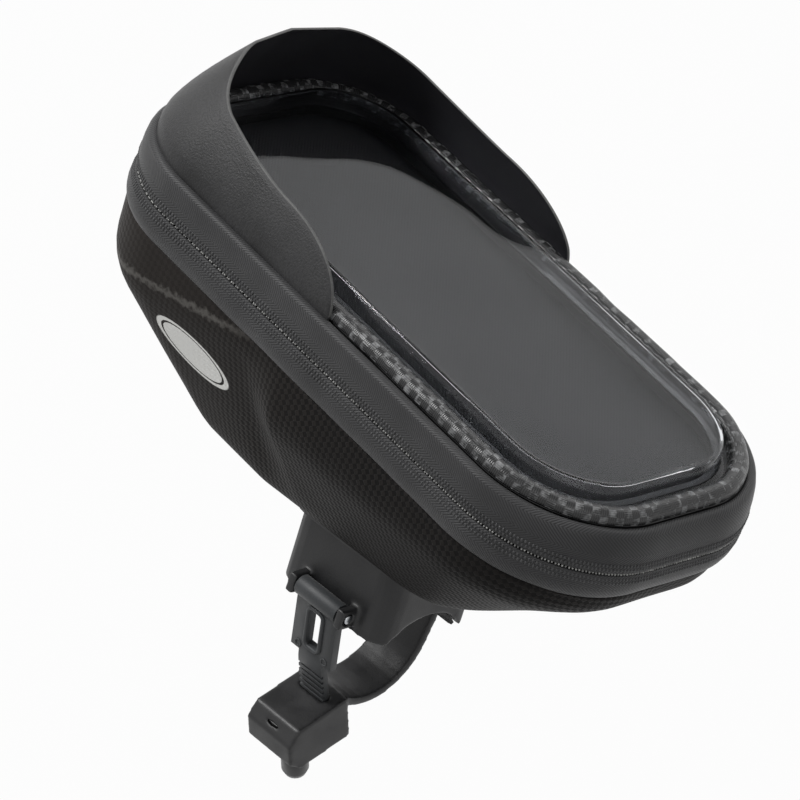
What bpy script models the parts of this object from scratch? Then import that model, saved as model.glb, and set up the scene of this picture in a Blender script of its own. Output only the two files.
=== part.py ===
"""Handlebar phone pouch with a windowed lid, a sun hood and a strap-on stem bracket.

Metres, +Z up, +Y forward, +X to the rider's right. The origin is the crown of the saddle, where the
bracket sits on the stem. The bag is built round the ring, the line where the lid's piping meets the
zip band: every offset is counted outwards from that line and every drop downwards from its plane.
"""
import math

import bmesh
import bpy
from mathutils import Matrix, Vector

MM = 0.001
GAP = 0.3 * MM                     # clearance between neighbouring pieces
OVERLAP = 1 * MM                   # how far a cut or a fused shape runs past the face that it meets
EDGE_EASE = 0.8 * MM               # chamfer on moulded edges

# Ring: the rounded rectangle that carries the lid
RING_HALF_LENGTH = 100 * MM
RING_HALF_WIDTH = 50 * MM
FRONT_RADIUS = 33 * MM
NEAR_RADIUS = 37 * MM
NEAR_FLARE = 3 * MM                # how far the near end swells out at the zip
FLARE_FOOT = 30 * MM               # drop at which that swelling has died away

# Zip band
ZIP_DROP = 12.5 * MM
ZIP_SLOT = 1.0 * MM
TAPE_THICKNESS = 1.2 * MM
TAPE_SWELL = 0.8 * MM
SWELL_RISE = 3 * MM                # how far from the slit the swelling is full
SWELL_FALL = 2.5 * MM              # how far from the seam it starts to fall
TAPE_ROLL = 1.6 * MM               # the upper tape's edge, rolled over the lid's rim
BAND_OFFSET = 1.0 * MM             # the tapes' inner face
LOWER_TAPE_HEIGHT = 9.0 * MM
COIL_HEIGHT = 1.7 * MM
COIL_DEPTH = 1.6 * MM
HINGE_HALF_WIDTH = 16.5 * MM

# Lid
LID_WALL = 3.6 * MM
FLANGE_THICKNESS = 3.0 * MM
FLANGE_TOP_DROP = 0.5 * MM
WINDOW_INSET = 11.5 * MM
BORDER_THICKNESS = 0.6 * MM
PIPING_WIDTH = 6.2 * MM
PIPING_HEIGHT = 3.4 * MM
PIPING_INSET = 0.8 * MM
FILM_THICKNESS = 0.8 * MM
FILM_HEIGHT = 6.4 * MM
FILM_FOOT = 1.5 * MM               # flat welded rim of the film
FILM_RISE_RUN = 2.2 * MM
PANEL_THICKNESS = 2.5 * MM
PANEL_DROP = 6.0 * MM
TOUCH_STRIP_THICKNESS = 0.7 * MM
TOUCH_STRIP_HALF_LENGTH = 20 * MM
TOUCH_STRIP_WIDTH = 5 * MM

# Hood
HOOD_THICKNESS = 1.0 * MM
HOOD_SIDE_HEIGHT = 17.5 * MM
HOOD_FRONT_HEIGHT = 25 * MM
HOOD_ROOT_HEIGHT = 1.0 * MM
HOOD_ROOT_Y = 1.5 * MM
HOOD_RISE_LENGTH = 32 * MM
HOOD_LEAN = 0.24                   # inward lean for each unit of height

# Shell
SHELL_WALL = 3.0 * MM
SHELL_DEPTH = 75 * MM
SHELL_OFFSET = 1.6 * MM
KNEE_DROP = 40 * MM
KNEE_SETBACK = 2.5 * MM
RIDGE_FRONT_Y = 77 * MM
RIDGE_REAR_Y = 18 * MM
RIDGE_START = 1.4 * MM             # under the seam, where the upper ridge runs out
WAIST_SETBACK = 0.8 * MM
WAIST_FRONT_DROP = 40 * MM
WAIST_REAR_DROP = 30 * MM
WAIST_START_Y = 8 * MM
WAIST_END_Y = 26 * MM
WAIST_SHARE = 0.42
BASE_HALF_WIDTH = 31 * MM
BASE_FRONT_Y = 54 * MM
BASE_NEAR_Y = -80 * MM
BASE_FRONT_RADIUS = 17 * MM
BASE_NEAR_RADIUS = 25 * MM
BASE_ROUND = 5 * MM
LAND_TILT = math.radians(8.0)      # the mounting land, against the lid's plane
LAND_FRONT_Y = 14 * MM
LAND_REAR_Y = -40 * MM
REAR_CURVE = 7.5                   # how fast the base curls up behind the land, per metre

# Bracket, in the tilted frame of the stem
STEM_RADIUS = 18 * MM
STACK_HEIGHT = 22 * MM             # saddle crown to shell
LAND_CENTRE_Y = -15 * MM
SCREW_PITCH_HALF = 15 * MM         # the four screws stand in a square
PLATE_HALF_WIDTH = SCREW_PITCH_HALF + 7 * MM
PLATE_HALF_LENGTH = SCREW_PITCH_HALF + 9 * MM
PLATE_CORNER = 8 * MM
PLATE_THICKNESS = 3.5 * MM
RAIL_NECK_HALF_WIDTH = 7 * MM
RAIL_HALF_WIDTH = 11 * MM
RAIL_NECK_HEIGHT = 3.0 * MM
RAIL_HEIGHT = 2.5 * MM
RAIL_HALF_LENGTH = 20 * MM
BRACKET_HALF_WIDTH = 20 * MM
BRACKET_HALF_LENGTH = 22 * MM
BRACKET_CORNER = 7 * MM
CHEEK_DROP = 6 * MM
PAD_THICKNESS = 1.5 * MM
PAD_SPAN = math.radians(50)        # each way from the crown
PAD_INSET = 2 * MM
BACKING_HALF_WIDTH = SCREW_PITCH_HALF + 3 * MM
BACKING_HALF_LENGTH = SCREW_PITCH_HALF + 5 * MM
BACKING_CORNER = 4 * MM
BACKING_THICKNESS = 2.0 * MM
SCREW_RADIUS = 1.5 * MM
SCREW_HEAD_RADIUS = 3.0 * MM
SCREW_HEAD_HEIGHT = 1.8 * MM
FLOOR_PAD_THICKNESS = 3.0 * MM
FLOOR_PAD_HALF_WIDTH = BACKING_HALF_WIDTH + 3 * MM
FLOOR_PAD_HALF_LENGTH = BACKING_HALF_LENGTH + 5 * MM
FLOOR_PAD_CORNER = 6 * MM

# Release button
BUTTON_HALF_WIDTH = 6 * MM
BUTTON_HEIGHT = 3 * MM
BUTTON_SINK = 1.3 * MM             # below the floor of the rail's slot
BUTTON_TRAVEL = 2.5 * MM
BUTTON_REACH = 5 * MM              # out of the bracket's front
BUTTON_LENGTH = 15 * MM
TOOTH_LENGTH = 2.0 * MM
SPRING_TURNS = 2.5
SPRING_WIRE = 0.35 * MM            # wire radius
SPRING_RADIUS = 2.4 * MM
SPRING_SHUT = 1.2 * MM             # room under the pressed button

# Strap and its clamp
PIN_RADIUS = 1.5 * MM
PIN_STANDOFF = 3.5 * MM            # pin axis out from the bracket's side
PIN_DROP = 1 * MM
EYE_RADIUS = 3.2 * MM
LUG_THICKNESS = 3 * MM
STRAP_THICKNESS = 2.6 * MM
STRAP_HEAD_HALF_WIDTH = 8.5 * MM
STRAP_HALF_WIDTH = 5 * MM
SLOT_HALF_WIDTH = 2.4 * MM
SLOT_START = 1.5 * MM              # past the eye
SLOT_LENGTH = 13 * MM
BELT_START = 0.85                  # share of the head's length at which the narrow belt begins
TOOTH_PITCH = 2.2 * MM
TOOTH_HEIGHT = 0.8 * MM
STRAP_LEAVE = math.radians(203)    # where the strap leaves the stem
STRAP_TAIL = 38 * MM
TAIL_TAPER = 8 * MM
TAIL_POINT_HALF_WIDTH = 1.5 * MM
ARM_END = math.radians(-117)       # where the clamp's arm meets its housing
HOUSING_START = 11 * MM
HOUSING_LENGTH = 16 * MM
HOUSING_WALL = 1.8 * MM
HOUSING_INNER = 5 * MM
HOUSING_CHAMFER = 4 * MM
KNOB_OFFSET = 9 * MM
KNOB_RADIUS = 4.2 * MM
KNOB_LENGTH = 13 * MM
KNOB_NOSE = 3 * MM                 # length of the knob's rounded end
NECK_RADIUS = 3 * MM

# Zip slider and puller
SLIDER_Y = 58 * MM
SLIDER_LENGTH = 9 * MM
SLIDER_HALF_HEIGHT = 3.6 * MM
SLIDER_THICKNESS = 2.0 * MM
NECK_THICKNESS = 0.4 * MM
BAIL_RADIUS = 3.0 * MM
BAIL_WIRE = 0.6 * MM
PULLER_LENGTH = 24 * MM
PULLER_HALF_WIDTH = 3.6 * MM
PULLER_THICKNESS = 1.3 * MM

# Mesh fineness
CORNER_STEPS = 7
SIDE_STEPS = 12
END_STEPS = 2

# Derived places
TAPE_OUTER = BAND_OFFSET + TAPE_THICKNESS
FRAME_OFFSET = BAND_OFFSET - GAP
UPPER_EDGE = ZIP_DROP - ZIP_SLOT / 2
LOWER_EDGE = ZIP_DROP + ZIP_SLOT / 2
SEAM_DROP = LOWER_EDGE + LOWER_TAPE_HEIGHT
LID_RIM_DROP = ZIP_DROP - GAP / 2 - COIL_HEIGHT - GAP
SHELL_RIM_DROP = ZIP_DROP + GAP / 2 + COIL_HEIGHT + GAP
STRAP_RADIUS = STEM_RADIUS + GAP + STRAP_THICKNESS / 2
STEM_AXIS_W = -STEM_RADIUS
WORM_RADIUS = KNOB_OFFSET - STRAP_THICKNESS / 2 - GAP
PLATE_LOW = STACK_HEIGHT - GAP - PLATE_THICKNESS
RAIL_TOP = PLATE_LOW - RAIL_NECK_HEIGHT
RAIL_LOW = RAIL_TOP - RAIL_HEIGHT
BRACKET_TOP = PLATE_LOW - GAP
SLOT_FLOOR = RAIL_LOW - GAP
BUTTON_TOP = SLOT_FLOOR - BUTTON_SINK
BUTTON_LOW = BUTTON_TOP - BUTTON_HEIGHT
BUTTON_POCKET = BUTTON_LOW - BUTTON_TRAVEL - SPRING_SHUT
BUTTON_FRONT = BRACKET_HALF_LENGTH + BUTTON_REACH
BUTTON_REAR = BUTTON_FRONT - BUTTON_LENGTH


def base_drop(y):
    """Drop of the shell's base below the ring at a place along the bag."""
    if y > LAND_FRONT_Y:
        return SHELL_DEPTH
    slope = math.tan(LAND_TILT)
    if y > LAND_REAR_Y:
        return SHELL_DEPTH - (LAND_FRONT_Y - y) * slope
    run = LAND_REAR_Y - y
    land_end = SHELL_DEPTH - (LAND_FRONT_Y - LAND_REAR_Y) * slope
    return land_end - run * slope - REAR_CURVE * run ** 2


RING_CENTRE = Vector((
    0,
    STACK_HEIGHT * math.sin(LAND_TILT) - LAND_CENTRE_Y,
    STACK_HEIGHT * math.cos(LAND_TILT) + base_drop(LAND_CENTRE_Y),
))
LID_AXIS = Vector((0, RING_HALF_LENGTH + TAPE_OUTER, -ZIP_DROP))


# Scene, frames and materials

def clear_scene():
    for item in list(bpy.data.objects):
        bpy.data.objects.remove(item, do_unlink=True)


def finish(name, colour, roughness, metallic=0.0, alpha=1.0):
    material = bpy.data.materials.new(name)
    material.use_nodes = True
    shader = material.node_tree.nodes["Principled BSDF"]
    shader.inputs["Base Color"].default_value = (*colour, 1)
    shader.inputs["Roughness"].default_value = roughness
    shader.inputs["Metallic"].default_value = metallic
    shader.inputs["Alpha"].default_value = alpha
    return material


def make_empty(name, location, tilt=0.0, parent=None):
    empty = bpy.data.objects.new(name, None)
    bpy.context.collection.objects.link(empty)
    empty.parent = parent
    empty.location = location
    empty.rotation_euler.x = tilt
    return empty


def add_piece(name, bm, material, parent, location=(0, 0, 0), smooth=True):
    bmesh.ops.recalc_face_normals(bm, faces=bm.faces)
    mesh = bpy.data.meshes.new(name)
    bm.to_mesh(mesh)
    bm.free()
    mesh.materials.append(material)
    if smooth:
        mesh.shade_smooth()
        mesh.set_sharp_from_angle(angle=math.radians(35))
    piece = bpy.data.objects.new(name, mesh)
    bpy.context.collection.objects.link(piece)
    piece.parent = parent
    piece.location = location
    return piece


def combine(piece, bm, operation):
    """Cut a shape from a piece, or fuse it on, keeping the shape as a hidden guide."""
    index = len(piece.modifiers)
    tool = add_piece(f"{piece.name}_tool_{index}", bm, piece.data.materials[0], piece.parent, smooth=False)
    tool.location = piece.location
    tool.hide_render = True
    tool.display_type = "WIRE"
    step = piece.modifiers.new(f"{operation.lower()}_{index}", "BOOLEAN")
    step.operation = operation
    step.solver = "EXACT"
    step.object = tool


# Plain solids

def loft(rings, closed):
    """Join equal rings of points into a skin, with flat ends where it isn't closed."""
    bm = bmesh.new()
    loops = [[bm.verts.new(point) for point in ring] for ring in rings]
    pairs = list(zip(loops, loops[1:]))
    if closed:
        pairs.append((loops[-1], loops[0]))
    for first, second in pairs:
        for index in range(len(first)):
            after = (index + 1) % len(first)
            bm.faces.new((first[index], first[after], second[after], second[index]))
    if not closed:
        bm.faces.new(loops[0])
        bm.faces.new(loops[-1])
    return bm


def prism(profile, start, end):
    """A profile in X and Z, drawn out along Y."""
    return loft([[(x, y, z) for x, z in profile] for y in (start, end)], closed=False)


def block(low, high):
    profile = [(low[0], low[2]), (high[0], low[2]), (high[0], high[2]), (low[0], high[2])]
    return prism(profile, low[1], high[1])


def slab(half_x, half_y, radius, low, high, steps=4):
    """A plate with rounded corners, lying flat."""
    outline = []
    for corner, (sx, sy) in enumerate(((1, 1), (-1, 1), (-1, -1), (1, -1))):
        for step in range(steps + 1):
            angle = math.pi / 2 * (corner + step / steps)
            outline.append((
                sx * (half_x - radius) + radius * math.cos(angle),
                sy * (half_y - radius) + radius * math.sin(angle),
            ))
    return loft([[(x, y, z) for x, y in outline] for z in (low, high)], closed=False)


def turned(profile, origin, direction, steps=20):
    """A solid of revolution: the profile holds a distance along the axis and a radius."""
    direction = Vector(direction).normalized()
    side = direction.cross(Vector((0, 1, 0)))
    if side.length < 0.1:
        side = direction.cross(Vector((1, 0, 0)))
    side.normalize()
    other = direction.cross(side)
    rings = []
    for along, radius in profile:
        centre = Vector(origin) + direction * along
        rings.append([
            centre + radius * (side * math.cos(turn) + other * math.sin(turn))
            for turn in (math.tau * step / steps for step in range(steps))
        ])
    return loft(rings, closed=False)


def rod(radius, start, end, steps=14):
    span = Vector(end) - Vector(start)
    return turned([(0, radius), (span.length, radius)], start, span, steps)


def joined(parts):
    """One mesh that holds several separate solids."""
    whole = bmesh.new()
    for bm in parts:
        mesh = bpy.data.meshes.new("part")
        bm.to_mesh(mesh)
        bm.free()
        whole.from_mesh(mesh)
        bpy.data.meshes.remove(mesh)
    return whole


# The ring and what is swept round it

def outline(half_width, front, near, front_radius, near_radius, end_start=0.0):
    """Points and outward directions of a rounded rectangle, clockwise from the front's middle.

    end_start is the half width left open at the front.
    """
    right = []
    for step in range(END_STEPS):
        x = end_start + (half_width - front_radius - end_start) * step / END_STEPS
        right.append((x, front, 0.0, 1.0))
    for step in range(CORNER_STEPS + 1):
        angle = math.pi / 2 * (1 - step / CORNER_STEPS)
        right.append((
            half_width - front_radius + front_radius * math.cos(angle),
            front - front_radius + front_radius * math.sin(angle),
            math.cos(angle), math.sin(angle),
        ))
    for step in range(1, SIDE_STEPS):
        share = step / SIDE_STEPS
        y = (front - front_radius) * (1 - share) + (near + near_radius) * share
        right.append((half_width, y, 1.0, 0.0))
    for step in range(CORNER_STEPS + 1):
        angle = -math.pi / 2 * step / CORNER_STEPS
        right.append((
            half_width - near_radius + near_radius * math.cos(angle),
            near + near_radius + near_radius * math.sin(angle),
            math.cos(angle), math.sin(angle),
        ))
    for step in range(1, END_STEPS + 1):
        x = (half_width - near_radius) * (1 - step / END_STEPS)
        right.append((x, near, 0.0, -1.0))
    first = 1 if end_start == 0 else 0
    left = [(-x, y, -nx, ny) for x, y, nx, ny in reversed(right[first:-1])]
    return right + left


def ring_stations(end_start=0.0):
    return outline(RING_HALF_WIDTH, RING_HALF_LENGTH, -RING_HALF_LENGTH, FRONT_RADIUS, NEAR_RADIUS, end_start)


def place(station, offset, drop):
    """A point out from the ring and down from it, with the near end's swelling."""
    x, y, nx, ny = station
    depth = min(drop / ZIP_DROP, (FLARE_FOOT - drop) / (FLARE_FOOT - ZIP_DROP))
    flare = NEAR_FLARE * max(0.0, -ny) ** 1.5 * max(0.0, depth)
    reach = offset + flare
    return Vector((x + nx * reach, y + ny * reach, -drop))


def swept(section, end_start=None):
    """A section of offsets and drops, swept round the ring or round all but its hinge."""
    closed = end_start is None
    stations = ring_stations(end_start or 0.0)
    return loft([[place(station, *point) for point in section] for station in stations], closed)


def flat_panel(inset, low_drop, high_drop):
    stations = ring_stations()
    return loft([[place(station, -inset, drop) for station in stations] for drop in (low_drop, high_drop)],
                closed=False)


# Lid

def make_lid(parent, finishes):
    at = -LID_AXIS
    inner = FRAME_OFFSET - LID_WALL
    flange_low = FLANGE_TOP_DROP + FLANGE_THICKNESS
    frame = [
        (FRAME_OFFSET, LID_RIM_DROP), (FRAME_OFFSET, FLANGE_TOP_DROP + EDGE_EASE),
        (FRAME_OFFSET - EDGE_EASE, FLANGE_TOP_DROP), (-WINDOW_INSET, FLANGE_TOP_DROP),
        (-WINDOW_INSET, flange_low), (inner, flange_low), (inner, LID_RIM_DROP),
    ]
    add_piece("lid_frame", swept(frame), finishes["foam"], parent, at)

    tape = [
        (TAPE_OUTER, UPPER_EDGE), (TAPE_OUTER + TAPE_SWELL, UPPER_EDGE - SWELL_RISE),
        (TAPE_OUTER + TAPE_SWELL, TAPE_ROLL + SWELL_FALL), (TAPE_OUTER, TAPE_ROLL),
        (BAND_OFFSET + TAPE_THICKNESS * 0.2, FLANGE_TOP_DROP - GAP), (BAND_OFFSET, FLANGE_TOP_DROP),
        (BAND_OFFSET, TAPE_ROLL), (BAND_OFFSET, UPPER_EDGE),
    ]
    add_piece("upper_zip_tape", swept(tape, HINGE_HALF_WIDTH + GAP), finishes["tape"], parent, at)

    coil_top = LID_RIM_DROP + GAP
    coil = [
        (FRAME_OFFSET, coil_top), (FRAME_OFFSET, coil_top + COIL_HEIGHT),
        (FRAME_OFFSET - COIL_DEPTH, coil_top + COIL_HEIGHT), (FRAME_OFFSET - COIL_DEPTH, coil_top),
    ]
    add_piece("upper_zip_coil", swept(coil, HINGE_HALF_WIDTH + GAP), finishes["coil"], parent, at)

    border_low = FLANGE_TOP_DROP - GAP
    border_high = border_low - BORDER_THICKNESS
    border = [
        (-PIPING_INSET, border_low), (-PIPING_INSET, border_high),
        (-WINDOW_INSET, border_high), (-WINDOW_INSET, border_low),
    ]
    add_piece("window_border", swept(border), finishes["gloss"], parent, at)

    piping_low = border_high - GAP
    crown = -PIPING_INSET - PIPING_WIDTH / 2
    piping = [
        (crown + PIPING_WIDTH / 2 * math.cos(angle), piping_low - PIPING_HEIGHT * math.sin(angle))
        for angle in (math.pi * step / 6 for step in range(7))
    ]
    add_piece("piping", swept(piping), finishes["carbon"], parent, at)

    film_outer = PIPING_INSET + PIPING_WIDTH + GAP
    top = -(FILM_HEIGHT - FILM_THICKNESS)
    skin = [
        (film_outer, piping_low), (film_outer + FILM_FOOT, piping_low),
        (film_outer + FILM_FOOT + FILM_RISE_RUN * 0.5, piping_low + (top - piping_low) * 0.75),
        (film_outer + FILM_FOOT + FILM_RISE_RUN, top),
    ]
    stations = ring_stations()
    lower = [[place(station, -inset, drop) for station in stations] for inset, drop in skin]
    upper = [[point + Vector((0, 0, FILM_THICKNESS)) for point in ring] for ring in lower]
    for ring, inset in zip(upper[1:3], (0.5, 0.9)):
        for index, station in enumerate(stations):
            ring[index] += Vector((station[2], station[3], 0)) * FILM_THICKNESS * inset
    add_piece("window_film", loft(list(reversed(lower)) + upper, closed=False), finishes["film"], parent, at)

    panel_inset = LID_WALL - FRAME_OFFSET + GAP
    add_piece("pocket_panel", flat_panel(panel_inset, PANEL_DROP + PANEL_THICKNESS, PANEL_DROP),
              finishes["lining"], parent, at)
    strip_y = -RING_HALF_LENGTH + (LID_WALL - FRAME_OFFSET + WINDOW_INSET) / 2
    for name, drop in (
        ("pocket_loop_strip", flange_low + GAP),
        ("pocket_hook_strip", PANEL_DROP - GAP - TOUCH_STRIP_THICKNESS),
    ):
        strip = block(
            (-TOUCH_STRIP_HALF_LENGTH, strip_y - TOUCH_STRIP_WIDTH / 2, -drop - TOUCH_STRIP_THICKNESS),
            (TOUCH_STRIP_HALF_LENGTH, strip_y + TOUCH_STRIP_WIDTH / 2, -drop),
        )
        add_piece(name, strip, finishes["touch"], parent, at, smooth=False)
    add_piece("hood", hood_mesh(FLANGE_TOP_DROP - GAP), finishes["hood"], parent, at)


def hood_height(y):
    """Height of the hood's free edge over the ring."""
    run = min(1.0, (y - HOOD_ROOT_Y) / HOOD_RISE_LENGTH)
    side = HOOD_SIDE_HEIGHT * math.sqrt(max(0.0, 1 - (1 - run) ** 2))
    past = max(0.0, y - HOOD_ROOT_Y - HOOD_RISE_LENGTH) / (RING_HALF_LENGTH - HOOD_ROOT_Y - HOOD_RISE_LENGTH)
    return side + (HOOD_FRONT_HEIGHT - HOOD_SIDE_HEIGHT) * past ** 1.5


def hood_stations(side_steps=10, corner_steps=9):
    """The ring's stations that the hood follows, from its right root round to its left one."""
    corner_y = RING_HALF_LENGTH - FRONT_RADIUS
    right = []
    for step in range(side_steps):
        share = (step / side_steps) ** 1.6
        right.append((RING_HALF_WIDTH, HOOD_ROOT_Y + (corner_y - HOOD_ROOT_Y) * share, 1.0, 0.0))
    for step in range(corner_steps + 1):
        angle = math.pi / 2 * step / corner_steps
        right.append((
            RING_HALF_WIDTH - FRONT_RADIUS + FRONT_RADIUS * math.cos(angle),
            corner_y + FRONT_RADIUS * math.sin(angle), math.cos(angle), math.sin(angle),
        ))
    left = [(-x, y, -nx, ny) for x, y, nx, ny in reversed(right)]
    return right + left


def hood_mesh(foot_drop):
    """A bent sheet: upright where it stands in the groove, leaning inwards above the piping."""
    stand = PIPING_HEIGHT
    rings = []
    for station in hood_stations():
        height = max(hood_height(station[1]), HOOD_ROOT_HEIGHT)
        knee = min(stand, height * 0.6)
        lean = HOOD_LEAN * (height - knee)
        face = HOOD_THICKNESS / 2
        rings.append([
            place(station, face, foot_drop), place(station, face, -knee),
            place(station, face - lean, -height), place(station, -face - lean, -height),
            place(station, -face, -knee), place(station, -face, foot_drop),
        ])
    return loft(rings, closed=False)


# Shell

def ridge_drop(y):
    """Drop of the upper ridge, which runs out into the seam towards the rider."""
    share = (y - RIDGE_REAR_Y) / (RIDGE_FRONT_Y - RIDGE_REAR_Y)
    start = SEAM_DROP + RIDGE_START
    return start + (KNEE_DROP - start) * min(1.0, max(0.0, share))


def waist_drop(y):
    """Drop of the lower ridge along the rear of the sides."""
    near = -RING_HALF_LENGTH
    share = (y - near) / (WAIST_START_Y - near)
    return WAIST_REAR_DROP + (WAIST_FRONT_DROP - WAIST_REAR_DROP) * min(1.0, max(0.0, share))


def shell_rings(depth=0.0):
    """Rings from the rim down to the edge of the base, of the skin that lies this deep in the wall."""
    stations = ring_stations()
    rim = [place(station, FRAME_OFFSET - depth, SHELL_RIM_DROP) for station in stations]
    foot = [place(station, FRAME_OFFSET - depth, SEAM_DROP + GAP) for station in stations]
    seam = [place(station, SHELL_OFFSET - depth, SEAM_DROP + 2 * GAP) for station in stations]
    base = outline(BASE_HALF_WIDTH, BASE_FRONT_Y, BASE_NEAR_Y, BASE_FRONT_RADIUS, BASE_NEAR_RADIUS)
    ridge, waist, edge, floor = [], [], [], []
    for station, (bx, by, bnx, bny) in zip(stations, base):
        front_pull = KNEE_SETBACK * max(0.0, station[3])
        upper = place(station, SHELL_OFFSET - front_pull, ridge_drop(station[1]))
        outer = Vector((bx, by, -base_drop(by) + BASE_ROUND * 0.55))
        facet = upper.lerp(outer, WAIST_SHARE)
        rear = place(station, SHELL_OFFSET - WAIST_SETBACK, waist_drop(station[1]))
        share = (station[1] - WAIST_START_Y) / (WAIST_END_Y - WAIST_START_Y)
        inward = Vector((-station[2], -station[3], 0))
        base_inward = Vector((-bnx, -bny, 0))
        up = Vector((0, 0, 1))
        ridge.append(upper + inward * depth)
        waist.append(rear.lerp(facet, min(1.0, max(0.0, share))) + (inward + up * 0.3) * depth)
        edge.append(outer + (base_inward * 0.8 + up * 0.6) * depth)
        inner_y = by - bny * BASE_ROUND
        under = Vector((bx - bnx * BASE_ROUND, inner_y, -base_drop(inner_y)))
        floor.append(under + up * depth)
    return [rim, foot, seam, ridge, waist, edge, floor]


def shell_mesh():
    """The wedge of the tub: an outer and an inner skin joined at the rim."""
    bm = bmesh.new()
    skins = []
    for depth in (0.0, SHELL_WALL):
        loops = [[bm.verts.new(point) for point in ring] for ring in shell_rings(depth)]
        skins.append(loops)
        count = len(loops[0])
        for upper, lower in zip(loops, loops[1:]):
            for index in range(count):
                after = (index + 1) % count
                bm.faces.new((upper[index], lower[index], lower[after], upper[after]))
        floor = loops[-1]
        half, end = count // 2, END_STEPS + 1
        bm.faces.new([floor[index % count] for index in range(-end, end + 1)])
        for index in range(end, half - end):
            bm.faces.new((floor[index], floor[index + 1], floor[count - index - 1], floor[count - index]))
        bm.faces.new([floor[index] for index in range(half - end, half + end + 1)])
    outer, inner = skins[0][0], skins[1][0]
    for index in range(len(outer)):
        after = (index + 1) % len(outer)
        bm.faces.new((outer[index], outer[after], inner[after], inner[index]))
    return bm


def screw_places():
    return [(sx * SCREW_PITCH_HALF, sy * SCREW_PITCH_HALF) for sx in (-1, 1) for sy in (-1, 1)]


def make_bag(ring_frame, stem_frame, finishes):
    shell = add_piece("shell", shell_mesh(), finishes["shell"], ring_frame)
    tilt = Matrix.Rotation(-LAND_TILT, 4, "X")
    into_ring = Matrix.Translation(-RING_CENTRE) @ tilt
    holes = []
    low, high = STACK_HEIGHT - SHELL_WALL, STACK_HEIGHT + 3 * SHELL_WALL
    for x, y in screw_places():
        hole = rod(SCREW_RADIUS + GAP, (x, y, low), (x, y, high))
        hole.transform(into_ring)
        holes.append(hole)
    combine(shell, joined(holes), "DIFFERENCE")

    tape = [
        (TAPE_OUTER, LOWER_EDGE), (TAPE_OUTER + TAPE_SWELL, LOWER_EDGE + SWELL_RISE),
        (TAPE_OUTER + TAPE_SWELL, SEAM_DROP - SWELL_FALL), (TAPE_OUTER, SEAM_DROP),
        (BAND_OFFSET, SEAM_DROP), (BAND_OFFSET, LOWER_EDGE),
    ]
    add_piece("lower_zip_tape", swept(tape, HINGE_HALF_WIDTH + GAP), finishes["tape"], ring_frame)
    coil_top = ZIP_DROP + GAP / 2
    coil = [
        (FRAME_OFFSET, coil_top), (FRAME_OFFSET, coil_top + COIL_HEIGHT),
        (FRAME_OFFSET - COIL_DEPTH, coil_top + COIL_HEIGHT), (FRAME_OFFSET - COIL_DEPTH, coil_top),
    ]
    add_piece("lower_zip_coil", swept(coil, HINGE_HALF_WIDTH + GAP), finishes["coil"], ring_frame)
    strip = block(
        (-HINGE_HALF_WIDTH, RING_HALF_LENGTH + BAND_OFFSET, -SEAM_DROP),
        (HINGE_HALF_WIDTH, RING_HALF_LENGTH + TAPE_OUTER, -TAPE_ROLL),
    )
    add_piece("hinge_strip", strip, finishes["tape"], ring_frame, smooth=False)

    plate = add_piece("mount_plate", slab(PLATE_HALF_WIDTH, PLATE_HALF_LENGTH, PLATE_CORNER, PLATE_LOW,
                                          STACK_HEIGHT - GAP), finishes["plastic"], stem_frame)
    root = PLATE_LOW + OVERLAP
    rail = [
        (-RAIL_NECK_HALF_WIDTH, root), (-RAIL_NECK_HALF_WIDTH, RAIL_TOP), (-RAIL_HALF_WIDTH, RAIL_TOP),
        (-RAIL_HALF_WIDTH, RAIL_LOW), (RAIL_HALF_WIDTH, RAIL_LOW), (RAIL_HALF_WIDTH, RAIL_TOP),
        (RAIL_NECK_HALF_WIDTH, RAIL_TOP), (RAIL_NECK_HALF_WIDTH, root),
    ]
    combine(plate, prism(rail, -RAIL_HALF_LENGTH, RAIL_HALF_LENGTH), "UNION")
    backing_low = STACK_HEIGHT + SHELL_WALL + GAP
    backing_high = backing_low + BACKING_THICKNESS
    backing = add_piece("backing_plate", slab(BACKING_HALF_WIDTH, BACKING_HALF_LENGTH, BACKING_CORNER,
                                              backing_low, backing_high), finishes["plastic"], stem_frame)
    for piece, low, high in (
        (plate, PLATE_LOW - OVERLAP, STACK_HEIGHT),
        (backing, backing_low - OVERLAP, backing_high + OVERLAP),
    ):
        drilled = [rod(SCREW_RADIUS + GAP, (x, y, low), (x, y, high)) for x, y in screw_places()]
        combine(piece, joined(drilled), "DIFFERENCE")
    head_low = backing_high + GAP
    length = head_low - PLATE_LOW
    for number, (x, y) in enumerate(screw_places(), 1):
        screw = turned([(0, SCREW_HEAD_RADIUS * 0.7), (SCREW_HEAD_HEIGHT * 0.6, SCREW_HEAD_RADIUS),
                        (SCREW_HEAD_HEIGHT, SCREW_HEAD_RADIUS), (SCREW_HEAD_HEIGHT, SCREW_RADIUS),
                        (SCREW_HEAD_HEIGHT + length, SCREW_RADIUS)],
                       (x, y, head_low + SCREW_HEAD_HEIGHT), (0, 0, -1), 14)
        add_piece(f"mount_screw_{number}", screw, finishes["steel"], stem_frame)
    pad_low = head_low + SCREW_HEAD_HEIGHT + GAP
    add_piece("floor_pad", slab(FLOOR_PAD_HALF_WIDTH, FLOOR_PAD_HALF_LENGTH, FLOOR_PAD_CORNER, pad_low,
                                pad_low + FLOOR_PAD_THICKNESS), finishes["lining"], stem_frame)


# Bracket

def arc(radius, start, end, steps):
    """Points of an arc about the stem's axis, in X and Z of the stem's frame."""
    return [
        (radius * math.cos(angle), STEM_AXIS_W + radius * math.sin(angle))
        for angle in (start + (end - start) * step / steps for step in range(steps + 1))
    ]


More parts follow.
